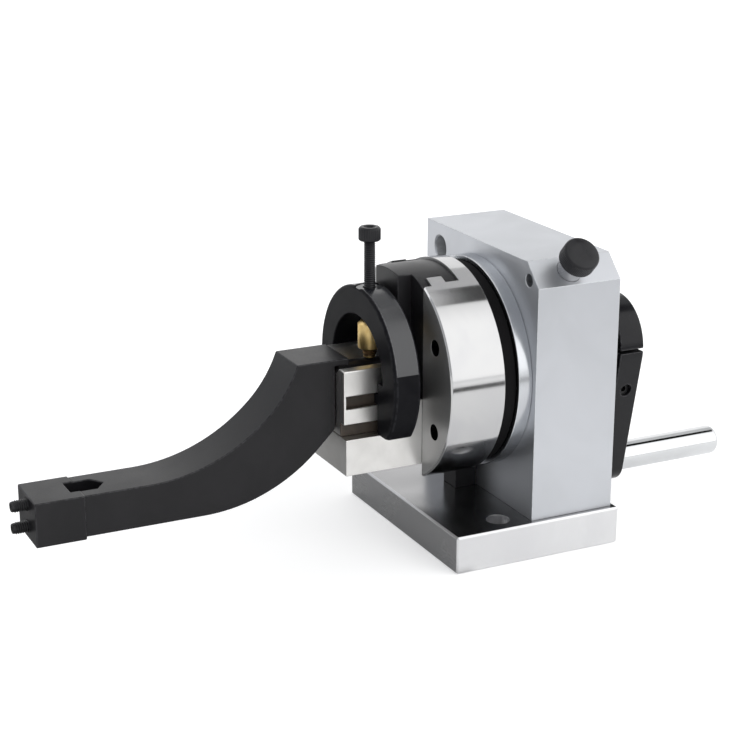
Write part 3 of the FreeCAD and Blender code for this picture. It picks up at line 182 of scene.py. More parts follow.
# %% Build the lathe rings
def build_lathe_rings():
    group, given, result = effect(
        "lathe_rings",
        [("Centre", VECTOR, (0, 0, 0)), ("Axis", VECTOR, (0, 1, 0)), ("Fineness", FLOAT, 8.0)],
        [("Height", FLOAT), ("Mask", FLOAT)],
    )
    arm = add(group, "ShaderNodeVectorMath", operation="SUBTRACT")
    group.links.new(millimetres(group), arm.inputs[0])
    group.links.new(given.outputs["Centre"], arm.inputs[1])
    along = add(group, "ShaderNodeVectorMath", operation="DOT_PRODUCT")
    group.links.new(arm.outputs[0], along.inputs[0])
    group.links.new(given.outputs["Axis"], along.inputs[1])
    across = add(group, "ShaderNodeVectorMath", operation="CROSS_PRODUCT")
    group.links.new(arm.outputs[0], across.inputs[0])
    group.links.new(given.outputs["Axis"], across.inputs[1])
    radius = add(group, "ShaderNodeVectorMath", operation="LENGTH")
    group.links.new(across.outputs[0], radius.inputs[0])
    pair = add(group, "ShaderNodeCombineXYZ")
    group.links.new(along.outputs["Value"], pair.inputs["X"])
    group.links.new(radius.outputs["Value"], pair.inputs["Y"])
    noise = add(group, "ShaderNodeTexNoise", noise_dimensions="2D")
    noise.inputs["Detail"].default_value = 3.0
    noise.inputs["Roughness"].default_value = 0.6
    group.links.new(pair.outputs[0], noise.inputs["Vector"])
    group.links.new(given.outputs["Fineness"], noise.inputs["Scale"])
    spread = add(group, "ShaderNodeMapRange")
    spread.inputs["From Min"].default_value = 0.3
    spread.inputs["From Max"].default_value = 0.7
    group.links.new(noise.outputs["Fac"], spread.inputs["Value"])
    group.links.new(noise.outputs["Fac"], result.inputs["Height"])
    group.links.new(spread.outputs["Result"], result.inputs["Mask"])
    return group


lathe_rings = build_lathe_rings()
print("made", lathe_rings.name)

# %% [markdown]
# ### Fine grain
#
# Blackened and blasted steel is a little rough everywhere, in no direction. Plain noise at a few grains per
# millimetre is enough, mixed from a fine and a coarser layer so that it doesn't look like television snow.


# %% Build the fine grain
def build_fine_grain():
    group, given, result = effect(
        "fine_grain",
        [("Fineness", FLOAT, 3.0)],
        [("Height", FLOAT), ("Mask", FLOAT)],
    )
    noise = add(group, "ShaderNodeTexNoise")
    noise.inputs["Detail"].default_value = 5.0
    noise.inputs["Roughness"].default_value = 0.7
    group.links.new(millimetres(group), noise.inputs["Vector"])
    group.links.new(given.outputs["Fineness"], noise.inputs["Scale"])
    spread = add(group, "ShaderNodeMapRange")
    spread.inputs["From Min"].default_value = 0.35
    spread.inputs["From Max"].default_value = 0.65
    group.links.new(noise.outputs["Fac"], spread.inputs["Value"])
    group.links.new(noise.outputs["Fac"], result.inputs["Height"])
    group.links.new(spread.outputs["Result"], result.inputs["Mask"])
    return group


fine_grain = build_fine_grain()
print("made", fine_grain.name)

# %% [markdown]
# ### Handled patches and worn corners
#
# Oil and fingers leave clouds some centimetres wide, in which the gloss changes more than the colour. Corners
# lose their finish first. A shader can guess where corners are, but here the pieces know: when an edge is
# softened, its narrow faces are marked with a value called worn_edge, and this group reads it and breaks it up.


# %% Build the patches and the worn corners
def build_handled_patches():
    group, given, result = effect("handled_patches", [("Width", FLOAT, 20.0)], [("Mask", FLOAT)])
    finer = add(group, "ShaderNodeMath", operation="DIVIDE")
    finer.inputs[0].default_value = 1.0
    group.links.new(given.outputs["Width"], finer.inputs[1])
    noise = add(group, "ShaderNodeTexNoise")
    noise.inputs["Detail"].default_value = 3.0
    noise.inputs["Distortion"].default_value = 0.6
    group.links.new(millimetres(group), noise.inputs["Vector"])
    group.links.new(finer.outputs[0], noise.inputs["Scale"])
    spread = add(group, "ShaderNodeMapRange", interpolation_type="SMOOTHSTEP")
    spread.inputs["From Min"].default_value = 0.3
    spread.inputs["From Max"].default_value = 0.7
    group.links.new(noise.outputs["Fac"], spread.inputs["Value"])
    group.links.new(spread.outputs["Result"], result.inputs["Mask"])
    return group


def build_worn_corners():
    group, given, result = effect("worn_corners", [("Amount", FLOAT, 0.6)], [("Mask", FLOAT)])
    edge = add(group, "ShaderNodeAttribute", attribute_name="worn_edge")
    noise = add(group, "ShaderNodeTexNoise")
    noise.inputs["Scale"].default_value = 0.8
    noise.inputs["Detail"].default_value = 4.0
    group.links.new(millimetres(group), noise.inputs["Vector"])
    broken = add(group, "ShaderNodeMapRange")
    broken.inputs["From Min"].default_value = 0.35
    broken.inputs["From Max"].default_value = 0.6
    group.links.new(noise.outputs["Fac"], broken.inputs["Value"])
    both = add(group, "ShaderNodeMath", operation="MULTIPLY")
    group.links.new(edge.outputs["Fac"], both.inputs[0])
    group.links.new(broken.outputs["Result"], both.inputs[1])
    share = add(group, "ShaderNodeMath", operation="MULTIPLY", use_clamp=True)
    group.links.new(both.outputs[0], share.inputs[0])
    group.links.new(given.outputs["Amount"], share.inputs[1])
    group.links.new(share.outputs[0], result.inputs["Mask"])
    return group


handled_patches = build_handled_patches()
worn_corners = build_worn_corners()
print("made", handled_patches.name, "and", worn_corners.name)

# %% [markdown]
# ## The finishes
#
# A finish needs two colours that drift into each other, a colour for its worn corners, a span of roughness and
# the marks of its tool. Writing the same chain of nodes two dozen times would hide what differs, so one function
# wires the chain, and each finish below is a short call that states only its own numbers.


# %% One function that wires a finish
def finish(title, metallic, main, drift, worn, rough, marks, settings, depth, wear=0.5, patch=22.0, **shader):
    """rough is (smoothest, roughest); depth is how tall the marks stand, in millimetres."""
    made = bpy.data.materials.new(title)
    made.use_nodes = True
    tree = made.node_tree
    surface = tree.nodes["Principled BSDF"]
    surface.inputs["Metallic"].default_value = metallic
    for name, value in shader.items():
        surface.inputs[name.replace("_", " ")].default_value = value
    tool = add(tree, "ShaderNodeGroup", node_tree=marks)
    for name, value in settings.items():
        tool.inputs[name].default_value = value
    hands = add(tree, "ShaderNodeGroup", node_tree=handled_patches)
    hands.inputs["Width"].default_value = patch
    corners = add(tree, "ShaderNodeGroup", node_tree=worn_corners)
    corners.inputs["Amount"].default_value = wear

    tint = add(tree, "ShaderNodeMix", data_type="RGBA")
    tint.inputs[6].default_value = (*main, 1)
    tint.inputs[7].default_value = (*drift, 1)
    tree.links.new(hands.outputs["Mask"], tint.inputs["Factor"])
    bared = add(tree, "ShaderNodeMix", data_type="RGBA")
    bared.inputs[7].default_value = (*worn, 1)
    tree.links.new(corners.outputs["Mask"], bared.inputs["Factor"])
    tree.links.new(tint.outputs[2], bared.inputs[6])
    tree.links.new(bared.outputs[2], surface.inputs["Base Color"])

    blend = add(tree, "ShaderNodeMix", data_type="FLOAT")
    blend.inputs["Factor"].default_value = 0.5
    tree.links.new(tool.outputs["Mask"], blend.inputs[2])
    tree.links.new(hands.outputs["Mask"], blend.inputs[3])
    gloss = add(tree, "ShaderNodeMapRange")
    gloss.inputs["To Min"].default_value, gloss.inputs["To Max"].default_value = rough
    tree.links.new(blend.outputs[0], gloss.inputs["Value"])
    tree.links.new(gloss.outputs["Result"], surface.inputs["Roughness"])

    bump = add(tree, "ShaderNodeBump")
    bump.inputs["Strength"].default_value = 1.0
    bump.inputs["Distance"].default_value = depth * MM
    tree.links.new(tool.outputs["Height"], bump.inputs["Height"])
    tree.links.new(bump.outputs["Normal"], surface.inputs["Normal"])
    return made


# %% [markdown]
# ### Bright steels
#
# The base and the block come off a surface grinder. The base's top is smoother than its sides and painted
# darker, as painted shade for the shaded parts it mirrors, and its sides are painted lighter, as painted light
# on their bright side; the block is paler and more matt. The head, the flange and the small turned parts keep
# lathe rings round the spindle, and the head's front is only faced, so it is duller than its rim. Their colours
# are close, so roughness does most of the telling apart.

# %% Make the bright steels
SPINDLE = (0.0, 0.0, 59.0)
# The base's sides: a paler steel than the grinding alone gives, painted light for their bright side.
ground_base_painted_light = finish(
    "ground_base_painted_light", 1.0, (0.78, 0.78, 0.785), (0.72, 0.72, 0.73), (0.86, 0.86, 0.87), (0.22, 0.34),
    grinding_lines, {"Fineness": (0.12, 11.0, 11.0)}, 0.0008, wear=0.5, patch=30.0,
)
# The base's top: a much darker steel, painted shade for the shaded parts that it mirrors.
base_top_painted_shade = finish(
    "base_top_painted_shade", 1.0, (0.36, 0.36, 0.365), (0.31, 0.31, 0.315), (0.78, 0.79, 0.80), (0.16, 0.28),
    grinding_lines, {"Fineness": (0.12, 11.0, 11.0)}, 0.0008, wear=0.5, patch=30.0,
)
satin_block = finish(
    "satin_block", 1.0, (0.59, 0.605, 0.635), (0.55, 0.565, 0.59), (0.82, 0.83, 0.85), (0.36, 0.46),
    grinding_lines, {"Fineness": (9.0, 9.0, 0.12)}, 0.0008, wear=0.5, patch=35.0,
)
turned_head = finish(
    "turned_head", 1.0, (0.57, 0.57, 0.57), (0.53, 0.53, 0.54), (0.72, 0.72, 0.72), (0.09, 0.14),
    lathe_rings, {"Centre": SPINDLE, "Axis": (0.0, 1.0, 0.0), "Fineness": 5.0}, 0.0009, wear=0.3,
)
faced_head = finish(
    "faced_head", 1.0, (0.46, 0.46, 0.46), (0.42, 0.42, 0.42), (0.76, 0.76, 0.76), (0.42, 0.52),
    lathe_rings, {"Centre": SPINDLE, "Axis": (0.0, 1.0, 0.0), "Fineness": 5.0}, 0.0012, wear=0.3,
)
turned_flange = finish(
    "turned_flange", 1.0, (0.60, 0.62, 0.64), (0.54, 0.55, 0.58), (0.80, 0.80, 0.82), (0.16, 0.28),
    lathe_rings, {"Centre": SPINDLE, "Axis": (0.0, 1.0, 0.0), "Fineness": 4.0}, 0.0010, wear=0.6,
)
ground_tool_steel = finish(
    "ground_tool_steel", 1.0, (0.76, 0.75, 0.73), (0.68, 0.67, 0.65), (0.86, 0.85, 0.83), (0.28, 0.40),
    grinding_lines, {"Fineness": (11.0, 0.12, 11.0)}, 0.0009, wear=0.7, patch=12.0,
)
turned_steel = finish(
    "turned_steel", 1.0, (0.58, 0.58, 0.59), (0.50, 0.50, 0.52), (0.78, 0.78, 0.78), (0.14, 0.28),
    lathe_rings, {"Centre": SPINDLE, "Axis": (0.0, 1.0, 0.0), "Fineness": 5.0}, 0.0012, patch=8.0,
)
print("bright steels:", ground_base_painted_light.name, satin_block.name, turned_head.name)

# %% [markdown]
# ### Blackened steels
#
# The arm and the slide are blackened: a thin dark skin with a soft sheen, which picks up the white room at flat
# angles. The crank has the same skin under a film of oil. The horseshoe is matt in front and polished round its
# outside, so only the outside mirrors the room. The ring behind the head is duller and darker than all of them,
# as painted shade for the shadowed recess it sits in. Black isn't pure black in any, and corners show a little
# grey where the skin is thin.

# %% Make the blackened steels
black_oxide = finish(
    "black_oxide", 0.0, (0.0075, 0.0072, 0.0085), (0.011, 0.0105, 0.012), (0.06, 0.06, 0.065), (0.30, 0.42),
    fine_grain, {"Fineness": 2.5}, 0.004, wear=0.45, patch=14.0, Specular_IOR_Level=0.28,
)
oiled_black = finish(
    "oiled_black", 0.0, (0.0060, 0.0060, 0.0075), (0.009, 0.009, 0.0105), (0.08, 0.08, 0.085), (0.13, 0.22),
    fine_grain, {"Fineness": 1.5}, 0.002, wear=0.5, patch=12.0, Specular_IOR_Level=0.26,
)
# The faces inside the crank's slit: near black and matt, painted shade that darkens the slit.
slit_painted_shade = finish(
    "slit_painted_shade", 0.0, (0.004, 0.004, 0.005), (0.006, 0.006, 0.007), (0.02, 0.02, 0.02), (0.75, 0.90),
    fine_grain, {"Fineness": 4.0}, 0.010, wear=0.1, patch=5.0, Specular_IOR_Level=0.1,
)
black_gloss = finish(
    "black_gloss", 0.0, (0.0065, 0.0075, 0.0105), (0.010, 0.011, 0.014), (0.09, 0.09, 0.095), (0.16, 0.28),
    lathe_rings, {"Centre": (0.0, 0.0, 61.0), "Axis": (0.0, 1.0, 0.0), "Fineness": 3.0}, 0.0008,
    wear=0.6, patch=10.0, IOR=1.75,
)
black_matt = finish(
    "black_matt", 0.0, (0.0065, 0.0065, 0.0080), (0.009, 0.009, 0.0105), (0.05, 0.05, 0.055), (0.34, 0.46),
    lathe_rings, {"Centre": (0.0, 0.0, 61.0), "Axis": (0.0, 1.0, 0.0), "Fineness": 4.0}, 0.0012,
    wear=0.3, patch=8.0, Specular_IOR_Level=0.05,
)
# The ring behind the head: the darkest, least shiny black, painted shade for its shadowed recess.
black_ring_painted_shade = finish(
    "black_ring_painted_shade", 0.0, (0.0045, 0.0042, 0.0048), (0.0065, 0.0062, 0.0068), (0.02, 0.02, 0.022), (0.60, 0.72),
    lathe_rings, {"Centre": SPINDLE, "Axis": (0.0, 1.0, 0.0), "Fineness": 5.0}, 0.0010, wear=0.2,
    Specular_IOR_Level=0.08,
)
black_screw = finish(
    "black_screw", 0.0, (0.010, 0.010, 0.011), (0.016, 0.016, 0.017), (0.12, 0.12, 0.12), (0.26, 0.40),
    fine_grain, {"Fineness": 5.0}, 0.003, wear=0.5, patch=4.0, Specular_IOR_Level=0.35,
)
black_knurled = finish(
    "black_knurled", 0.0, (0.010, 0.010, 0.012), (0.014, 0.014, 0.016), (0.10, 0.10, 0.11), (0.26, 0.38),
    fine_grain, {"Fineness": 6.0}, 0.002, wear=0.5, patch=5.0, Specular_IOR_Level=0.3,
)
print("blackened steels:", black_oxide.name, black_gloss.name, black_ring_painted_shade.name)

# %% [markdown]
# ### Painted shade in the V-block's recesses and painted light in the bore
#
# The floors of the V-block's grooves and its inset foot are painted a dark brown, as painted shade for these
# deep recesses. The plain hole in the block was drilled and reamed, and its wall is rougher than the ground face
# round it and painted paler, as painted light inside the hole.

# %% Make the painted shade of the recesses and the painted light of the reamed wall
# Dark brown for the groove floors and the inset foot: painted shade for these recesses.
recess_painted_shade = finish(
    "recess_painted_shade", 0.0, (0.062, 0.049, 0.038), (0.044, 0.036, 0.030), (0.14, 0.12, 0.10), (0.45, 0.60),
    fine_grain, {"Fineness": 2.0}, 0.006, wear=0.3, patch=5.0, Specular_IOR_Level=0.3,
)
# The reamed hole's wall: paler and only partly metallic, painted light so its inside reads grey and lit.
bore_wall_painted_light = finish(
    "bore_wall_painted_light", 0.2, (0.62, 0.63, 0.64), (0.54, 0.55, 0.56), (0.82, 0.82, 0.83), (0.38, 0.52),
    fine_grain, {"Fineness": 4.0}, 0.002, wear=0.3, patch=4.0,
)
print("unpolished faces:", recess_painted_shade.name, bore_wall_painted_light.name)

# %% [markdown]
# ### Chrome, brass, bronze and spring steel
#
# The handle is chrome, smooth enough to show thin lines of the room. The clamp's pad is brass, and its ridged
# neck is painted dark and dull, as painted shade on the neck in the pad's shadow. The bushes are bronze; brass
# and bronze are metals whose own colour tints what they mirror.

# %% Make the other metals
chrome = finish(
    "chrome", 1.0, (0.72, 0.73, 0.74), (0.68, 0.69, 0.70), (0.80, 0.80, 0.80), (0.03, 0.07),
    fine_grain, {"Fineness": 1.0}, 0.0006, wear=0.2, patch=12.0,
)
brass = finish(
    "brass", 1.0, (0.86, 0.65, 0.30), (0.80, 0.58, 0.24), (0.92, 0.76, 0.42), (0.38, 0.48),
    lathe_rings, {"Centre": (0.0, -43.25, 70.0), "Axis": (0.0, 0.0, 1.0), "Fineness": 6.0}, 0.0010, patch=3.0,
)
# The pad's ridged neck: dark, dull brass, painted shade on the neck in the pad's shadow.
brass_neck_painted_shade = finish(
    "brass_neck_painted_shade", 1.0, (0.22, 0.14, 0.06), (0.16, 0.10, 0.05), (0.60, 0.45, 0.22), (0.40, 0.55),
    fine_grain, {"Fineness": 4.0}, 0.002, patch=2.0,
)
bronze = finish(
    "bronze", 1.0, (0.62, 0.40, 0.20), (0.52, 0.32, 0.15), (0.78, 0.55, 0.30), (0.22, 0.36),
    lathe_rings, {"Centre": SPINDLE, "Axis": (0.0, 1.0, 0.0), "Fineness": 4.0}, 0.0012, patch=6.0,
)
spring_steel = finish(
    "spring_steel", 1.0, (0.50, 0.50, 0.51), (0.42, 0.42, 0.43), (0.70, 0.70, 0.70), (0.22, 0.36),
    fine_grain, {"Fineness": 5.0}, 0.002, patch=4.0,
)
FINISH_OF = {
    "base_plate": ground_base_painted_light, "housing_block": satin_block, "front_flange": turned_flange,
    "head_disc": turned_head, "rear_cap": turned_steel, "thrust_washer": turned_steel,
    "crank_end_washer": turned_steel, "spindle": turned_steel, "index_plate": turned_steel,
    "index_pin": turned_steel, "index_sleeve": spring_steel, "arm_shank": black_oxide,
    "v_holder": ground_tool_steel, "v_block": ground_tool_steel, "front_bush": bronze, "rear_bush": bronze,
    "index_spring": spring_steel, "handle_bar": chrome, "clamp_pad": brass, "clamp_yoke": black_matt,
    "spindle_ring": black_ring_painted_shade, "crank": oiled_black, "dresser_arm": black_oxide, "tee_slide": black_oxide,
    "stop_block": black_oxide, "clamp_screw": black_knurled, "index_knob": black_knurled,
}
for name, solid in solids.items():
    coat = FINISH_OF.get(name, black_screw)
    solid["slot_name"] = solid.data.materials[0].name.split(".")[0]
    solid.material_slots[0].material = coat
print("finishes placed on", len(solids), "solids")

# %% [markdown]
# ## Softened edges
#
# No real edge is perfectly sharp. Even a ground one has a tiny round that catches the light, and without it
# metal looks like paper. A Bevel modifier could do this live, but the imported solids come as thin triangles,
# which bevel badly. So each visible part is copied, its flat triangles are joined into whole faces again, and
# only the outward corners are rounded. The new narrow faces get the worn_edge value that the finishes read.


# %% A softened copy of one solid
WELD = 0.002 * MM
SAME_PLANE, CORNER, SHARP = math.radians(0.6), math.radians(28), math.radians(50)


def cut_level(work, floor):
    """Takes off all that lies under a height in millimetres and closes the cut."""
    cut = bmesh.ops.bisect_plane(
        work, geom=work.verts[:] + work.edges[:] + work.faces[:], plane_co=(0, 0, floor * MM),
        plane_no=(0, 0, 1), clear_inner=True,
    )
    rim = [part for part in cut["geom_cut"] if isinstance(part, bmesh.types.BMEdge)]
    bmesh.ops.holes_fill(work, edges=rim, sides=0)


def softened(name, width, second=None, belongs=None, floor=None):
    """second is a finish for the faces for which belongs(centre in millimetres, normal) is true."""
    solid = solids[name]
    work = bmesh.new()
    work.from_mesh(solid.data)
    bmesh.ops.remove_doubles(work, verts=work.verts, dist=WELD)
    bmesh.ops.dissolve_limit(work, angle_limit=SAME_PLANE, verts=work.verts, edges=work.edges)
    if floor is not None:
        cut_level(work, floor)
    outward = [
        edge for edge in work.edges
        if len(edge.link_faces) == 2 and edge.calc_face_angle_signed() > CORNER
    ]
    rounded = bmesh.ops.bevel(
        work, geom=outward, offset=width * MM, offset_type="OFFSET", segments=2, profile=0.5,
        affect="EDGES", clamp_overlap=False, material=-1, loop_slide=True,
    )
    worn = work.loops.layers.float.new("worn_edge")
    for face in rounded["faces"]:
        for corner in face.loops:
            corner[worn] = 1.0
    for face in work.faces:
        face.smooth = True
    for edge in work.edges:
        edge.smooth = len(edge.link_faces) == 2 and edge.calc_face_angle(0.0) < SHARP
    mesh = bpy.data.meshes.new(name + "_soft")
    work.to_mesh(mesh)
    work.free()
    if "custom_normal" in mesh.attributes:
        mesh.attributes.remove(mesh.attributes["custom_normal"])
    piece = bpy.data.objects.new(name + "_soft", mesh)
    bpy.context.scene.collection.objects.link(piece)
    mesh.materials.clear()
    mesh.materials.append(FINISH_OF.get(name, black_screw))
    if second:
        mesh.materials.append(second)
        for face in mesh.polygons:
            face.material_index = 1 if belongs(face.center / MM, face.normal) else 0
    even = piece.modifiers.new("even_light", "WEIGHTED_NORMAL")
    even.keep_sharp = True
    even.weight = 100
    settle(piece, name)
    return piece


def settle(piece, name):
    """The piece stands for the solid of that name and moves with its body."""
    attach(piece, solids[name]["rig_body"])
    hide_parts(name)


# %% [markdown]
# Some parts need two finishes on one piece. A rule for each of them looks at where a face lies and which way it
# looks, and picks the faces of the second finish: the base's top with its painted shade, the disc's faced front,
# the polished outside of the horseshoe, the painted shade on the V-block's groove floors and foot, the painted
# light on the reamed hole's wall and the painted shade in the crank's saw cut.

# %% Rules for the second finishes
# All in millimetres. A normal's part above FACING counts as looking that way.
FACING = 0.9
AXIS_HEIGHT, YOKE_HEIGHT = 59.0, 61.0
base_surface = 12.5
bore_side, bore_height, bore_reach, bore_floor = -28.3, 91.5, 4.1, 21.0
recess_shade_top, groove_low, groove_high = 48.05, 53.35, 57.55
groove_floor, block_side = 12.6, 14.9
yoke_outside, polish_foot = 27.0, 66.5
half_slit = 2.0


def is_front(centre, normal):
    return normal.y < -FACING


def is_top(centre, normal):
    return normal.z > FACING and centre.z > base_surface


def is_bore_wall(centre, normal):
    away = math.hypot(centre.x - bore_side, centre.z - bore_height)
    return away < bore_reach and centre.y < bore_floor and abs(normal.y) < 0.2


# Groove floors and the inset foot below the given height get the painted shade.
def is_shaded_recess(centre, normal):
    in_groove = groove_floor < abs(centre.x) < block_side and groove_low < centre.z < groove_high
    return in_groove or centre.z < recess_shade_top


def is_polished(centre, normal):
    outward = normal.x * centre.x + normal.z * (centre.z - YOKE_HEIGHT)
    return abs(normal.y) < 0.5 and outward > yoke_outside and centre.z > polish_foot


def is_saw_cut(centre, normal):
    return abs(normal.z) > 0.6 and abs(centre.z - AXIS_HEIGHT) < half_slit and abs(normal.y) < 0.1


SECOND = {
    "base_plate": (base_top_painted_shade, is_top), "housing_block": (bore_wall_painted_light, is_bore_wall),
    "head_disc": (faced_head, is_front), "v_block": (recess_painted_shade, is_shaded_recess),
    "clamp_yoke": (black_gloss, is_polished), "crank": (slit_painted_shade, is_saw_cut),
}
print(len(SECOND), "parts carry a second finish")

# %% [markdown]
# The solid slide reaches down behind the holder. The picture shows no black end there, so the slide's copy is cut
# off just above the holder's foot.

# %% Soften the large parts
slide_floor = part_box("v_holder")[0].z / MM + 0.3
LARGE = {
    "base_plate": 0.08, "housing_block": 0.22, "front_flange": 0.3, "spindle_ring": 0.2, "head_disc": 0.10,
    "rear_cap": 0.3, "stop_block": 0.25, "tee_slide": 0.25, "v_holder": 0.18, "v_block": 0.45,
    "clamp_yoke": 0.35, "dresser_arm": 0.4, "crank": 0.40, "handle_bar": 0.1, "arm_shank": 0.3,
}
for name, width in LARGE.items():
    second, belongs = SECOND.get(name, (None, None))
    floor = slide_floor if name == "tee_slide" else None
    piece = softened(name, width, second=second, belongs=belongs, floor=floor)
    print(name, "softened by", width, "mm,", len(piece.data.polygons), "faces")

# %% Soften the small parts
SMALL = {
    "flange_screws": 0.12, "rear_cap_screws": 0.2, "head_screws": 0.12, "crank_side_screw": 0.12,
    "crank_end_washer": 0.15, "crank_end_screw": 0.15, "sleeve_lock_screw": 0.12, "slide_lock_screw": 0.12,
    "index_sleeve": 0.25, "v_holder_screws": 0.12, "v_block_screws": 0.12, "housing_screws": 0.2,
    "stop_block_screw": 0.12, "thrust_washer": 0.12,
}
for name, width in SMALL.items():
    softened(name, width)
print("softened", len(SMALL), "small parts")

# %% [markdown]
# ## Threads, knurls and sockets
#
# The clamp screw, the two set screws, the brass pad and the black knob are round parts whose detail goes round
# and round. A screw could be made with a Screw modifier, but that leaves its ends open and is hard to join to a
# head. Here a part is a stack of closed rings of points, and each ring's radius is a small function of the
# angle. A constant gives a plain cylinder, a function that climbs with the angle gives a thread, a quick wave
# gives a knurl, and a six-sided one gives a socket. The last ring closes on a point in the middle.


# %% Rings of points, joined into a closed piece
def stacked(work, rings, sides):
    """Adds one closed shell: rings is a list of (height, radius or function of the angle), in millimetres."""
    rows = []
    for height, radius in rings:
        row = []
        for step in range(sides):
            angle = 2 * math.pi * step / sides
            reach = radius(angle) if callable(radius) else radius
            row.append(work.verts.new((reach * math.cos(angle) * MM, reach * math.sin(angle) * MM, height * MM)))
        rows.append(row)
    for low, high in zip(rows, rows[1:]):
        for step in range(sides):
            after = (step + 1) % sides
            work.faces.new((low[step], low[after], high[after], high[step]))
    for row, height, flip in ((rows[0], rings[0][0], True), (rows[-1], rings[-1][0], False)):
        middle = work.verts.new((0, 0, height * MM))
        for step in range(sides):
            after = (step + 1) % sides
            corners = (row[step], row[after], middle)
            work.faces.new(corners[::-1] if flip else corners)


def thread(radius, depth, pitch, height):
    """Radius of a V thread at one height."""
    def at(angle):
        turn = (height / pitch - angle / (2 * math.pi)) % 1.0
        return radius - depth * abs(2 * turn - 1)
    return at


def threaded_rings(low, high, radius, depth, pitch, per_turn=8):
    """Rings for a threaded length, plain at both ends so that the thread runs out."""
    count = max(2, round((high - low) / pitch * per_turn))
    rings = []
    for step in range(count + 1):
        height = low + (high - low) * step / count
        fade = min(1.0, step / per_turn, (count - step) / per_turn)
        rings.append((height, thread(radius - depth * (1 - fade), depth * fade, pitch, height)))
    return rings


def knurl(radius, depth, teeth):
    """Radius of a straight knurl."""
    return lambda angle: radius - depth * (0.5 - 0.5 * math.cos(teeth * angle))


def socket(across):
    """Radius of a hexagon with that distance across its flats."""
    sixth = math.pi / 3
    return lambda angle: across / 2 / math.cos((angle % sixth) - sixth / 2)


# %% Place a stacked piece on its axis
def placed(name, shells, start, direction, smooth_below=40, second=None, belongs=None):
    """shells is a list of (rings, sides); their heights run from start along direction."""
    work = bmesh.new()
    for rings, sides in shells:
        stacked(work, rings, sides)
    for face in work.faces:
        face.smooth = True
    for edge in work.edges:
        edge.smooth = edge.calc_face_angle(0.0) < math.radians(smooth_below)
    turn = Vector((0, 0, 1)).rotation_difference(Vector(direction)).to_matrix().to_4x4()
    work.transform(Matrix.Translation(Vector(start) * MM) @ turn)
    mesh = bpy.data.meshes.new(name + "_fine")
    work.to_mesh(mesh)
    work.free()
    mesh.materials.append(FINISH_OF.get(name, black_screw))
    if second:
        mesh.materials.append(second)
        for face in mesh.polygons:
            face.material_index = 1 if belongs(face.center / MM) else 0
    piece = bpy.data.objects.new(name + "_fine", mesh)
    bpy.context.scene.collection.objects.link(piece)
    settle(piece, name)
    return piece


# %% [markdown]
# ### The clamp screw
#
# A long cap screw passes through the top of the horseshoe. Its head has a straight knurl for the fingers and a
# six-sided socket, and its shank is threaded all the way, which shows as a fine saw edge against the white.

# %% Build the clamp screw
# Radii and heights here and in the next cells are in millimetres.
FINGER_TEETH = 32
low, high = (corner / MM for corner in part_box("clamp_screw"))
head_foot = high.z - 4.5
shank_rings = [(low.z, 1.2), (low.z + 0.25, 1.45)] + threaded_rings(
    low.z + 0.5, head_foot + 0.2, 1.95, 0.30, 0.7)
head_rings = [
    (head_foot, 3.3),
    (head_foot + 0.3, knurl(3.6, 0.10, FINGER_TEETH)),
    (head_foot + 0.5, knurl(3.65, 0.18, FINGER_TEETH)),
    (head_foot + 3.7, knurl(3.65, 0.18, FINGER_TEETH)),
    (head_foot + 4.1, knurl(3.5, 0.06, FINGER_TEETH)),
    (high.z, 3.1), (high.z, 2.05),
    (high.z - 0.3, socket(3.0)), (high.z - 2.4, socket(3.0)), (high.z - 2.9, 0.5),
]
clamp_screw = placed(
    "clamp_screw", [(shank_rings, 40), (head_rings, 192)], (0, (low.y + high.y) / 2, 0), (0, 0, 1))
print("clamp screw:", len(clamp_screw.data.polygons), "faces")

# %% [markdown]
# ### The two set screws
#
# They stick out of the arm's end and press on the dresser in its pocket. Each is a plain threaded rod with a
# small socket at its outer end and a short cone at the other.

# %% Build the set screws
for name in ("upper_set_screw", "lower_set_screw"):
    low, high = (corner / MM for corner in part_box(name))
    length = high.y - low.y
    socket_rings = [(1.6, 0.3), (1.5, socket(2.0)), (0.2, socket(2.0)), (0.0, 1.3), (0.0, 1.5), (0.4, 1.7)]
    rod_rings = threaded_rings(0.5, length - 1.6, 1.97, 0.32, 0.7) + [(length - 1.2, 1.5), (length, 0.8)]
    middle = ((low.x + high.x) / 2, low.y, (low.z + high.z) / 2)
    placed(name, [(socket_rings + rod_rings, 48)], middle, (0, 1, 0))
    print(name, "is", round(length, 1), "mm long")

# %% [markdown]
# ### The brass pad
#
# The screw presses on the work through a brass pad: a short bar with a broken edge on top, and below it a
# thinner ridged neck that ends in a bright flat. The neck is painted dark, as painted shade.

# %% Build the brass pad
low, high = (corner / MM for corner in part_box("clamp_pad"))
end_height = low.z + 0.7
shoulder = low.z + 3.3
pad_rings = (
    [(low.z, 1.7), (low.z + 0.25, 2.0), (end_height, 2.05)]
    + threaded_rings(low.z + 0.75, shoulder, 2.45, 0.4, 0.8)
    + [(shoulder, 3.6), (shoulder + 0.35, 3.9), (high.z - 1.05, 3.9), (high.z - 0.95, 3.86),
       (high.z - 0.08, 2.98), (high.z, 2.85)]
)
placed(
    "clamp_pad", [(pad_rings, 64)], (0, (low.y + high.y) / 2, 0), (0, 0, 1), smooth_below=30,
    second=brass_neck_painted_shade, belongs=lambda centre: end_height + 0.02 < centre.z < shoulder)
print("brass pad:", round(high.z - low.z, 2), "mm tall")

# %% [markdown]
# ### The black knob
#
# Two fingers pull this knob to lift the index pin out of its notch. It sits square to the block's chamfer, so
# its axis leans at 45 degrees. The rim has a very fine straight knurl, and its face is flat with a broken edge.

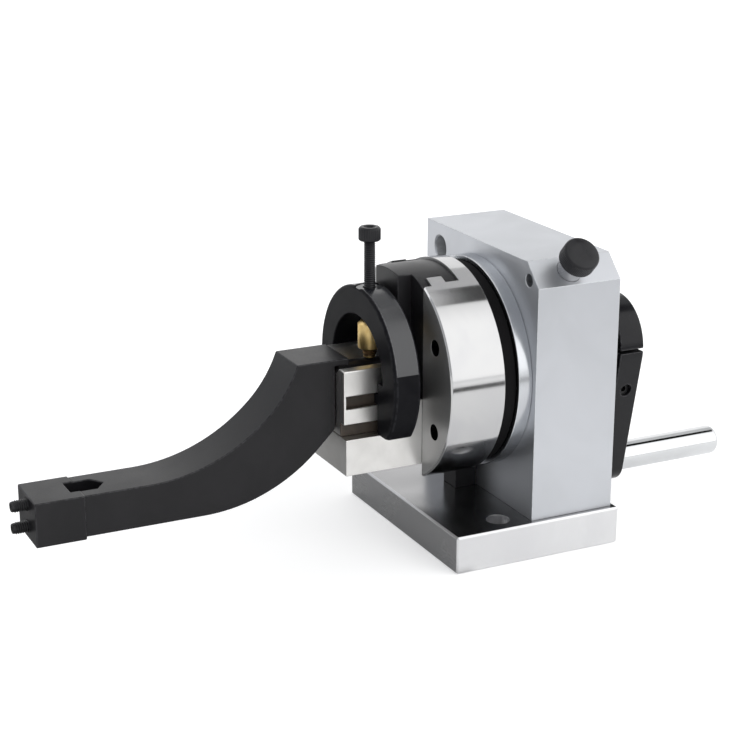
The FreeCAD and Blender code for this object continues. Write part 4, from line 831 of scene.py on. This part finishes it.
# %% Build the knob
CHAMFER = (34.25, 11.5, 96.25)
LEAN = (math.sqrt(0.5), 0.0, math.sqrt(0.5))
RIM_TEETH = 66
knob_rings = [
    (5.3, 4.6), (5.3, 5.6),
    (5.7, knurl(6.05, 0.06, RIM_TEETH)), (5.85, knurl(6.1, 0.12, RIM_TEETH)),
    (10.0, knurl(6.1, 0.12, RIM_TEETH)), (10.15, knurl(6.05, 0.06, RIM_TEETH)),
    (10.6, 5.62), (10.7, 5.45), (10.7, 3.0),
]
index_knob = placed("index_knob", [(knob_rings, 396)], CHAMFER, LEAN, smooth_below=35)
print("knob:", len(index_knob.data.polygons), "faces")

# %% [markdown]
# ## The camera
#
# The picture was taken a little from above, from the front right, with a long lens from about 0.65 m away. A
# camera can be aimed with angles, but here its three directions are known from fitting the block's corners, so
# they go straight into its matrix: right, up and backwards as columns.

# %% Place the camera
camera_data = bpy.data.cameras.new("studio_camera")
camera_data.sensor_width = 36.0
camera_data.lens = 85.93
camera_data.clip_start = 0.01
camera = bpy.data.objects.new("studio_camera", camera_data)
bpy.context.scene.collection.objects.link(camera)
right = Vector((0.44099474, 0.89750747, 0.0019937))
up = Vector((-0.27741882, 0.13419785, 0.95133051))
forward = Vector((-0.85355869, 0.42008484, -0.30816601))
camera.matrix_world = Matrix.Translation((0.50778, -0.29111, 0.24170)) @ Matrix(
    (right, up, -forward)).transposed().to_4x4()
bpy.context.scene.camera = camera
bpy.context.scene.view_settings.view_transform = "Standard"
print("camera is", round(camera.location.length, 3), "m from the base")

# %% [markdown]
# ## The studio
#
# Metal shows its room more than its own colour, so the room matters as much as the finishes. The object stands
# on a wide white table in a white room. The table keeps the soft shadow. A little glow is added to it only for
# rays from the camera and from mirrors, so it reads as clean white without putting more light on the object.


# %% Lay the table
TABLE_RADIUS = 4.0
PAPER = 0.8
GLOW_SEEN, GLOW_MIRRORED = 0.42, 0.20


def build_table():
    work = bmesh.new()
    bmesh.ops.create_circle(work, cap_ends=True, cap_tris=False, segments=96, radius=TABLE_RADIUS)
    mesh = bpy.data.meshes.new("table")
    work.to_mesh(mesh)
    work.free()
    table = bpy.data.objects.new("table", mesh)
    table.location.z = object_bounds()[0].z - 0.02 * MM
    bpy.context.scene.collection.objects.link(table)
    paper = bpy.data.materials.new("white_table")
    paper.use_nodes = True
    tree = paper.node_tree
    surface = tree.nodes["Principled BSDF"]
    surface.inputs["Base Color"].default_value = (PAPER, PAPER, PAPER, 1)
    surface.inputs["Roughness"].default_value = 0.9
    surface.inputs["Emission Color"].default_value = (1, 1, 1, 1)
    path = add(tree, "ShaderNodeLightPath")
    mirrored = add(tree, "ShaderNodeMath", operation="MULTIPLY")
    mirrored.inputs[1].default_value = GLOW_MIRRORED
    tree.links.new(path.outputs["Is Glossy Ray"], mirrored.inputs[0])
    glow = add(tree, "ShaderNodeMath", operation="MULTIPLY_ADD")
    glow.inputs[1].default_value = GLOW_SEEN
    tree.links.new(path.outputs["Is Camera Ray"], glow.inputs[0])
    tree.links.new(mirrored.outputs[0], glow.inputs[2])
    tree.links.new(glow.outputs[0], surface.inputs["Emission Strength"])
    mesh.materials.append(paper)
    table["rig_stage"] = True
    return table


table = build_table()
print("table lies at", round(table.location.z / MM, 3), "mm")

# %% [markdown]
# A photographer lays cloths beside shiny work. They are out of the picture, but the metal mirrors
# them. A dark strip on the right draws one thin line along the disc's rim and makes it look round and polished.
# A bar high above does the same for the handle, and a pale sheet beside it keeps the tops of both a little grey.
# A grey cloth in front tones down the base's long side. Cloths fade into the table at their edges, because a
# hard edge would show in the metal as a step.


# %% Lay the cloths
def soft_cloth(title, shade, around, glow, fade):
    """Diffuse cloth that goes from shade in its middle to around at its edges, over the share fade."""
    cloth = bpy.data.materials.new(title)
    cloth.use_nodes = True
    tree = cloth.node_tree
    surface = tree.nodes["Principled BSDF"]
    surface.inputs["Roughness"].default_value = 1.0
    surface.inputs["Emission Strength"].default_value = glow
    place = add(tree, "ShaderNodeTexCoord")
    centred = add(tree, "ShaderNodeVectorMath", operation="SUBTRACT")
    centred.inputs[1].default_value = (0.5, 0.5, 0.5)
    tree.links.new(place.outputs["Generated"], centred.inputs[0])
    size = add(tree, "ShaderNodeVectorMath", operation="ABSOLUTE")
    tree.links.new(centred.outputs[0], size.inputs[0])
    parts = add(tree, "ShaderNodeSeparateXYZ")
    tree.links.new(size.outputs[0], parts.inputs[0])
    further = add(tree, "ShaderNodeMath", operation="MAXIMUM")
    tree.links.new(parts.outputs["X"], further.inputs[0])
    tree.links.new(parts.outputs["Y"], further.inputs[1])
    edge = add(tree, "ShaderNodeMapRange", interpolation_type="SMOOTHSTEP")
    edge.inputs["From Min"].default_value = 0.5 - fade
    edge.inputs["From Max"].default_value = 0.5
    tree.links.new(further.outputs[0], edge.inputs["Value"])
    tint = add(tree, "ShaderNodeMix", data_type="RGBA")
    tint.inputs[6].default_value = (shade, shade, shade, 1)
    tint.inputs[7].default_value = (around, around, around, 1)
    tree.links.new(edge.outputs["Result"], tint.inputs["Factor"])
    tree.links.new(tint.outputs[2], surface.inputs["Base Color"])
    tree.links.new(tint.outputs[2], surface.inputs["Emission Color"])
    return cloth


def lay_cloth(name, cloth, left, right, front, back, level=0.0005):
    work = bmesh.new()
    corners = [(left, front), (right, front), (right, back), (left, back)]
    work.faces.new([work.verts.new((x, y, level)) for x, y in corners])
    mesh = bpy.data.meshes.new(name)
    work.to_mesh(mesh)
    work.free()
    mesh.materials.append(cloth)
    laid = bpy.data.objects.new(name, mesh)
    bpy.context.scene.collection.objects.link(laid)
    laid.visible_camera = False
    laid.visible_shadow = False
    laid.visible_diffuse = False
    laid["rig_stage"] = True
    print(name, "is", round((right - left) / MM), "by", round((back - front) / MM), "mm")


# On the table a cloth's edge glows in mirrors as the paper does, which is this share of its colour.
TABLE_GLOW = GLOW_MIRRORED / PAPER
CEILING = 1.4
black_strip = soft_cloth("black_strip", 0.005, PAPER, TABLE_GLOW, 0.12)
grey_cloth = soft_cloth("grey_cloth", 0.22, PAPER, TABLE_GLOW, 0.04)
black_bar = soft_cloth("black_bar", 0.005, PAPER, 0.0, 0.05)
pale_sheet = soft_cloth("pale_sheet", 0.8, 0.9, 0.0, 0.1)
lay_cloth("right_strip", black_strip, 0.29, 0.48, -0.5, 0.9)
lay_cloth("near_cloth", grey_cloth, -0.17, 0.045, -0.25, -0.022)
lay_cloth("ceiling_bar", black_bar, -0.28, 0.24, 0.64, 1.1, level=CEILING)
lay_cloth("ceiling_sheet", pale_sheet, -1.3, -0.25, -1.0, 2.5, level=CEILING + 0.01)

# %% [markdown]
# The room itself is the world: white to the camera, and for the light a white that is fuller behind the object
# than in front of it, as it is where a paper sweep rises behind the work. Two soft boxes stand right behind and
# left in front. They are large, because a large lamp gives a soft shadow.
#
# A lamp's mirror image ends in a hard edge, which the disc's rim would show. So the right box is hidden from
# mirrors, and a bright patch of the room without any edge, a window, takes its place there.


# %% Light the room
WINDOW_WAY = (0.79, 0.45, 0.42)
WINDOW_EDGE, WINDOW_MIDDLE = 0.62, 0.94
WINDOW_SHADE = 1.55


def build_room(front_shade, back_shade):
    world = bpy.data.worlds.new("white_room")
    world.use_nodes = True
    bpy.context.scene.world = world
    tree = world.node_tree
    back = tree.nodes["Background"]
    way = add(tree, "ShaderNodeTexCoord")
    parts = add(tree, "ShaderNodeSeparateXYZ")
    tree.links.new(way.outputs["Generated"], parts.inputs[0])
    share = add(tree, "ShaderNodeMapRange", interpolation_type="SMOOTHSTEP")
    share.inputs["From Min"].default_value = -0.5
    share.inputs["From Max"].default_value = 0.4
    tree.links.new(parts.outputs["Y"], share.inputs["Value"])
    sweep = add(tree, "ShaderNodeMix", data_type="RGBA")
    sweep.inputs[6].default_value = (*front_shade, 1)
    sweep.inputs[7].default_value = (*back_shade, 1)
    tree.links.new(share.outputs["Result"], sweep.inputs["Factor"])
    toward = add(tree, "ShaderNodeVectorMath", operation="DOT_PRODUCT")
    toward.inputs[1].default_value = WINDOW_WAY
    tree.links.new(way.outputs["Generated"], toward.inputs[0])
    window = add(tree, "ShaderNodeMapRange", interpolation_type="SMOOTHSTEP")
    window.inputs["From Min"].default_value = WINDOW_EDGE
    window.inputs["From Max"].default_value = WINDOW_MIDDLE
    tree.links.new(toward.outputs["Value"], window.inputs["Value"])
    lit = add(tree, "ShaderNodeMix", data_type="RGBA")
    lit.inputs[7].default_value = (WINDOW_SHADE, WINDOW_SHADE, WINDOW_SHADE, 1)
    tree.links.new(sweep.outputs[2], lit.inputs[6])
    tree.links.new(window.outputs["Result"], lit.inputs["Factor"])
    path = add(tree, "ShaderNodeLightPath")
    shade = add(tree, "ShaderNodeMix", data_type="RGBA")
    shade.inputs[7].default_value = (1, 1, 1, 1)
    tree.links.new(lit.outputs[2], shade.inputs[6])
    tree.links.new(path.outputs["Is Camera Ray"], shade.inputs["Factor"])
    tree.links.new(shade.outputs[2], back.inputs["Color"])
    back.inputs["Strength"].default_value = 1.0


def soft_box(name, place, size, glow, mirrored=True):
    """glow is how bright its face is, with 1 as white; mirrored is whether metal shows it."""
    lamp = bpy.data.lights.new(name, "AREA")
    lamp.shape = "SQUARE"
    lamp.size = size
    lamp.energy = glow * math.pi * size * size
    box = bpy.data.objects.new(name, lamp)
    box.location = place
    box.rotation_euler = (Vector((0, 0, 0.05)) - Vector(place)).to_track_quat("-Z", "Y").to_euler()
    box.visible_glossy = mirrored
    bpy.context.scene.collection.objects.link(box)
    print(name, "gives", round(lamp.energy, 2), "W")


build_room((0.55, 0.56, 0.58), (1.16, 1.16, 1.16))
soft_box("right_box", (0.84, 0.47, 0.52), 0.9, 1.05, mirrored=False)
soft_box("front_box", (-0.55, -0.85, 0.75), 0.6, 1.0)
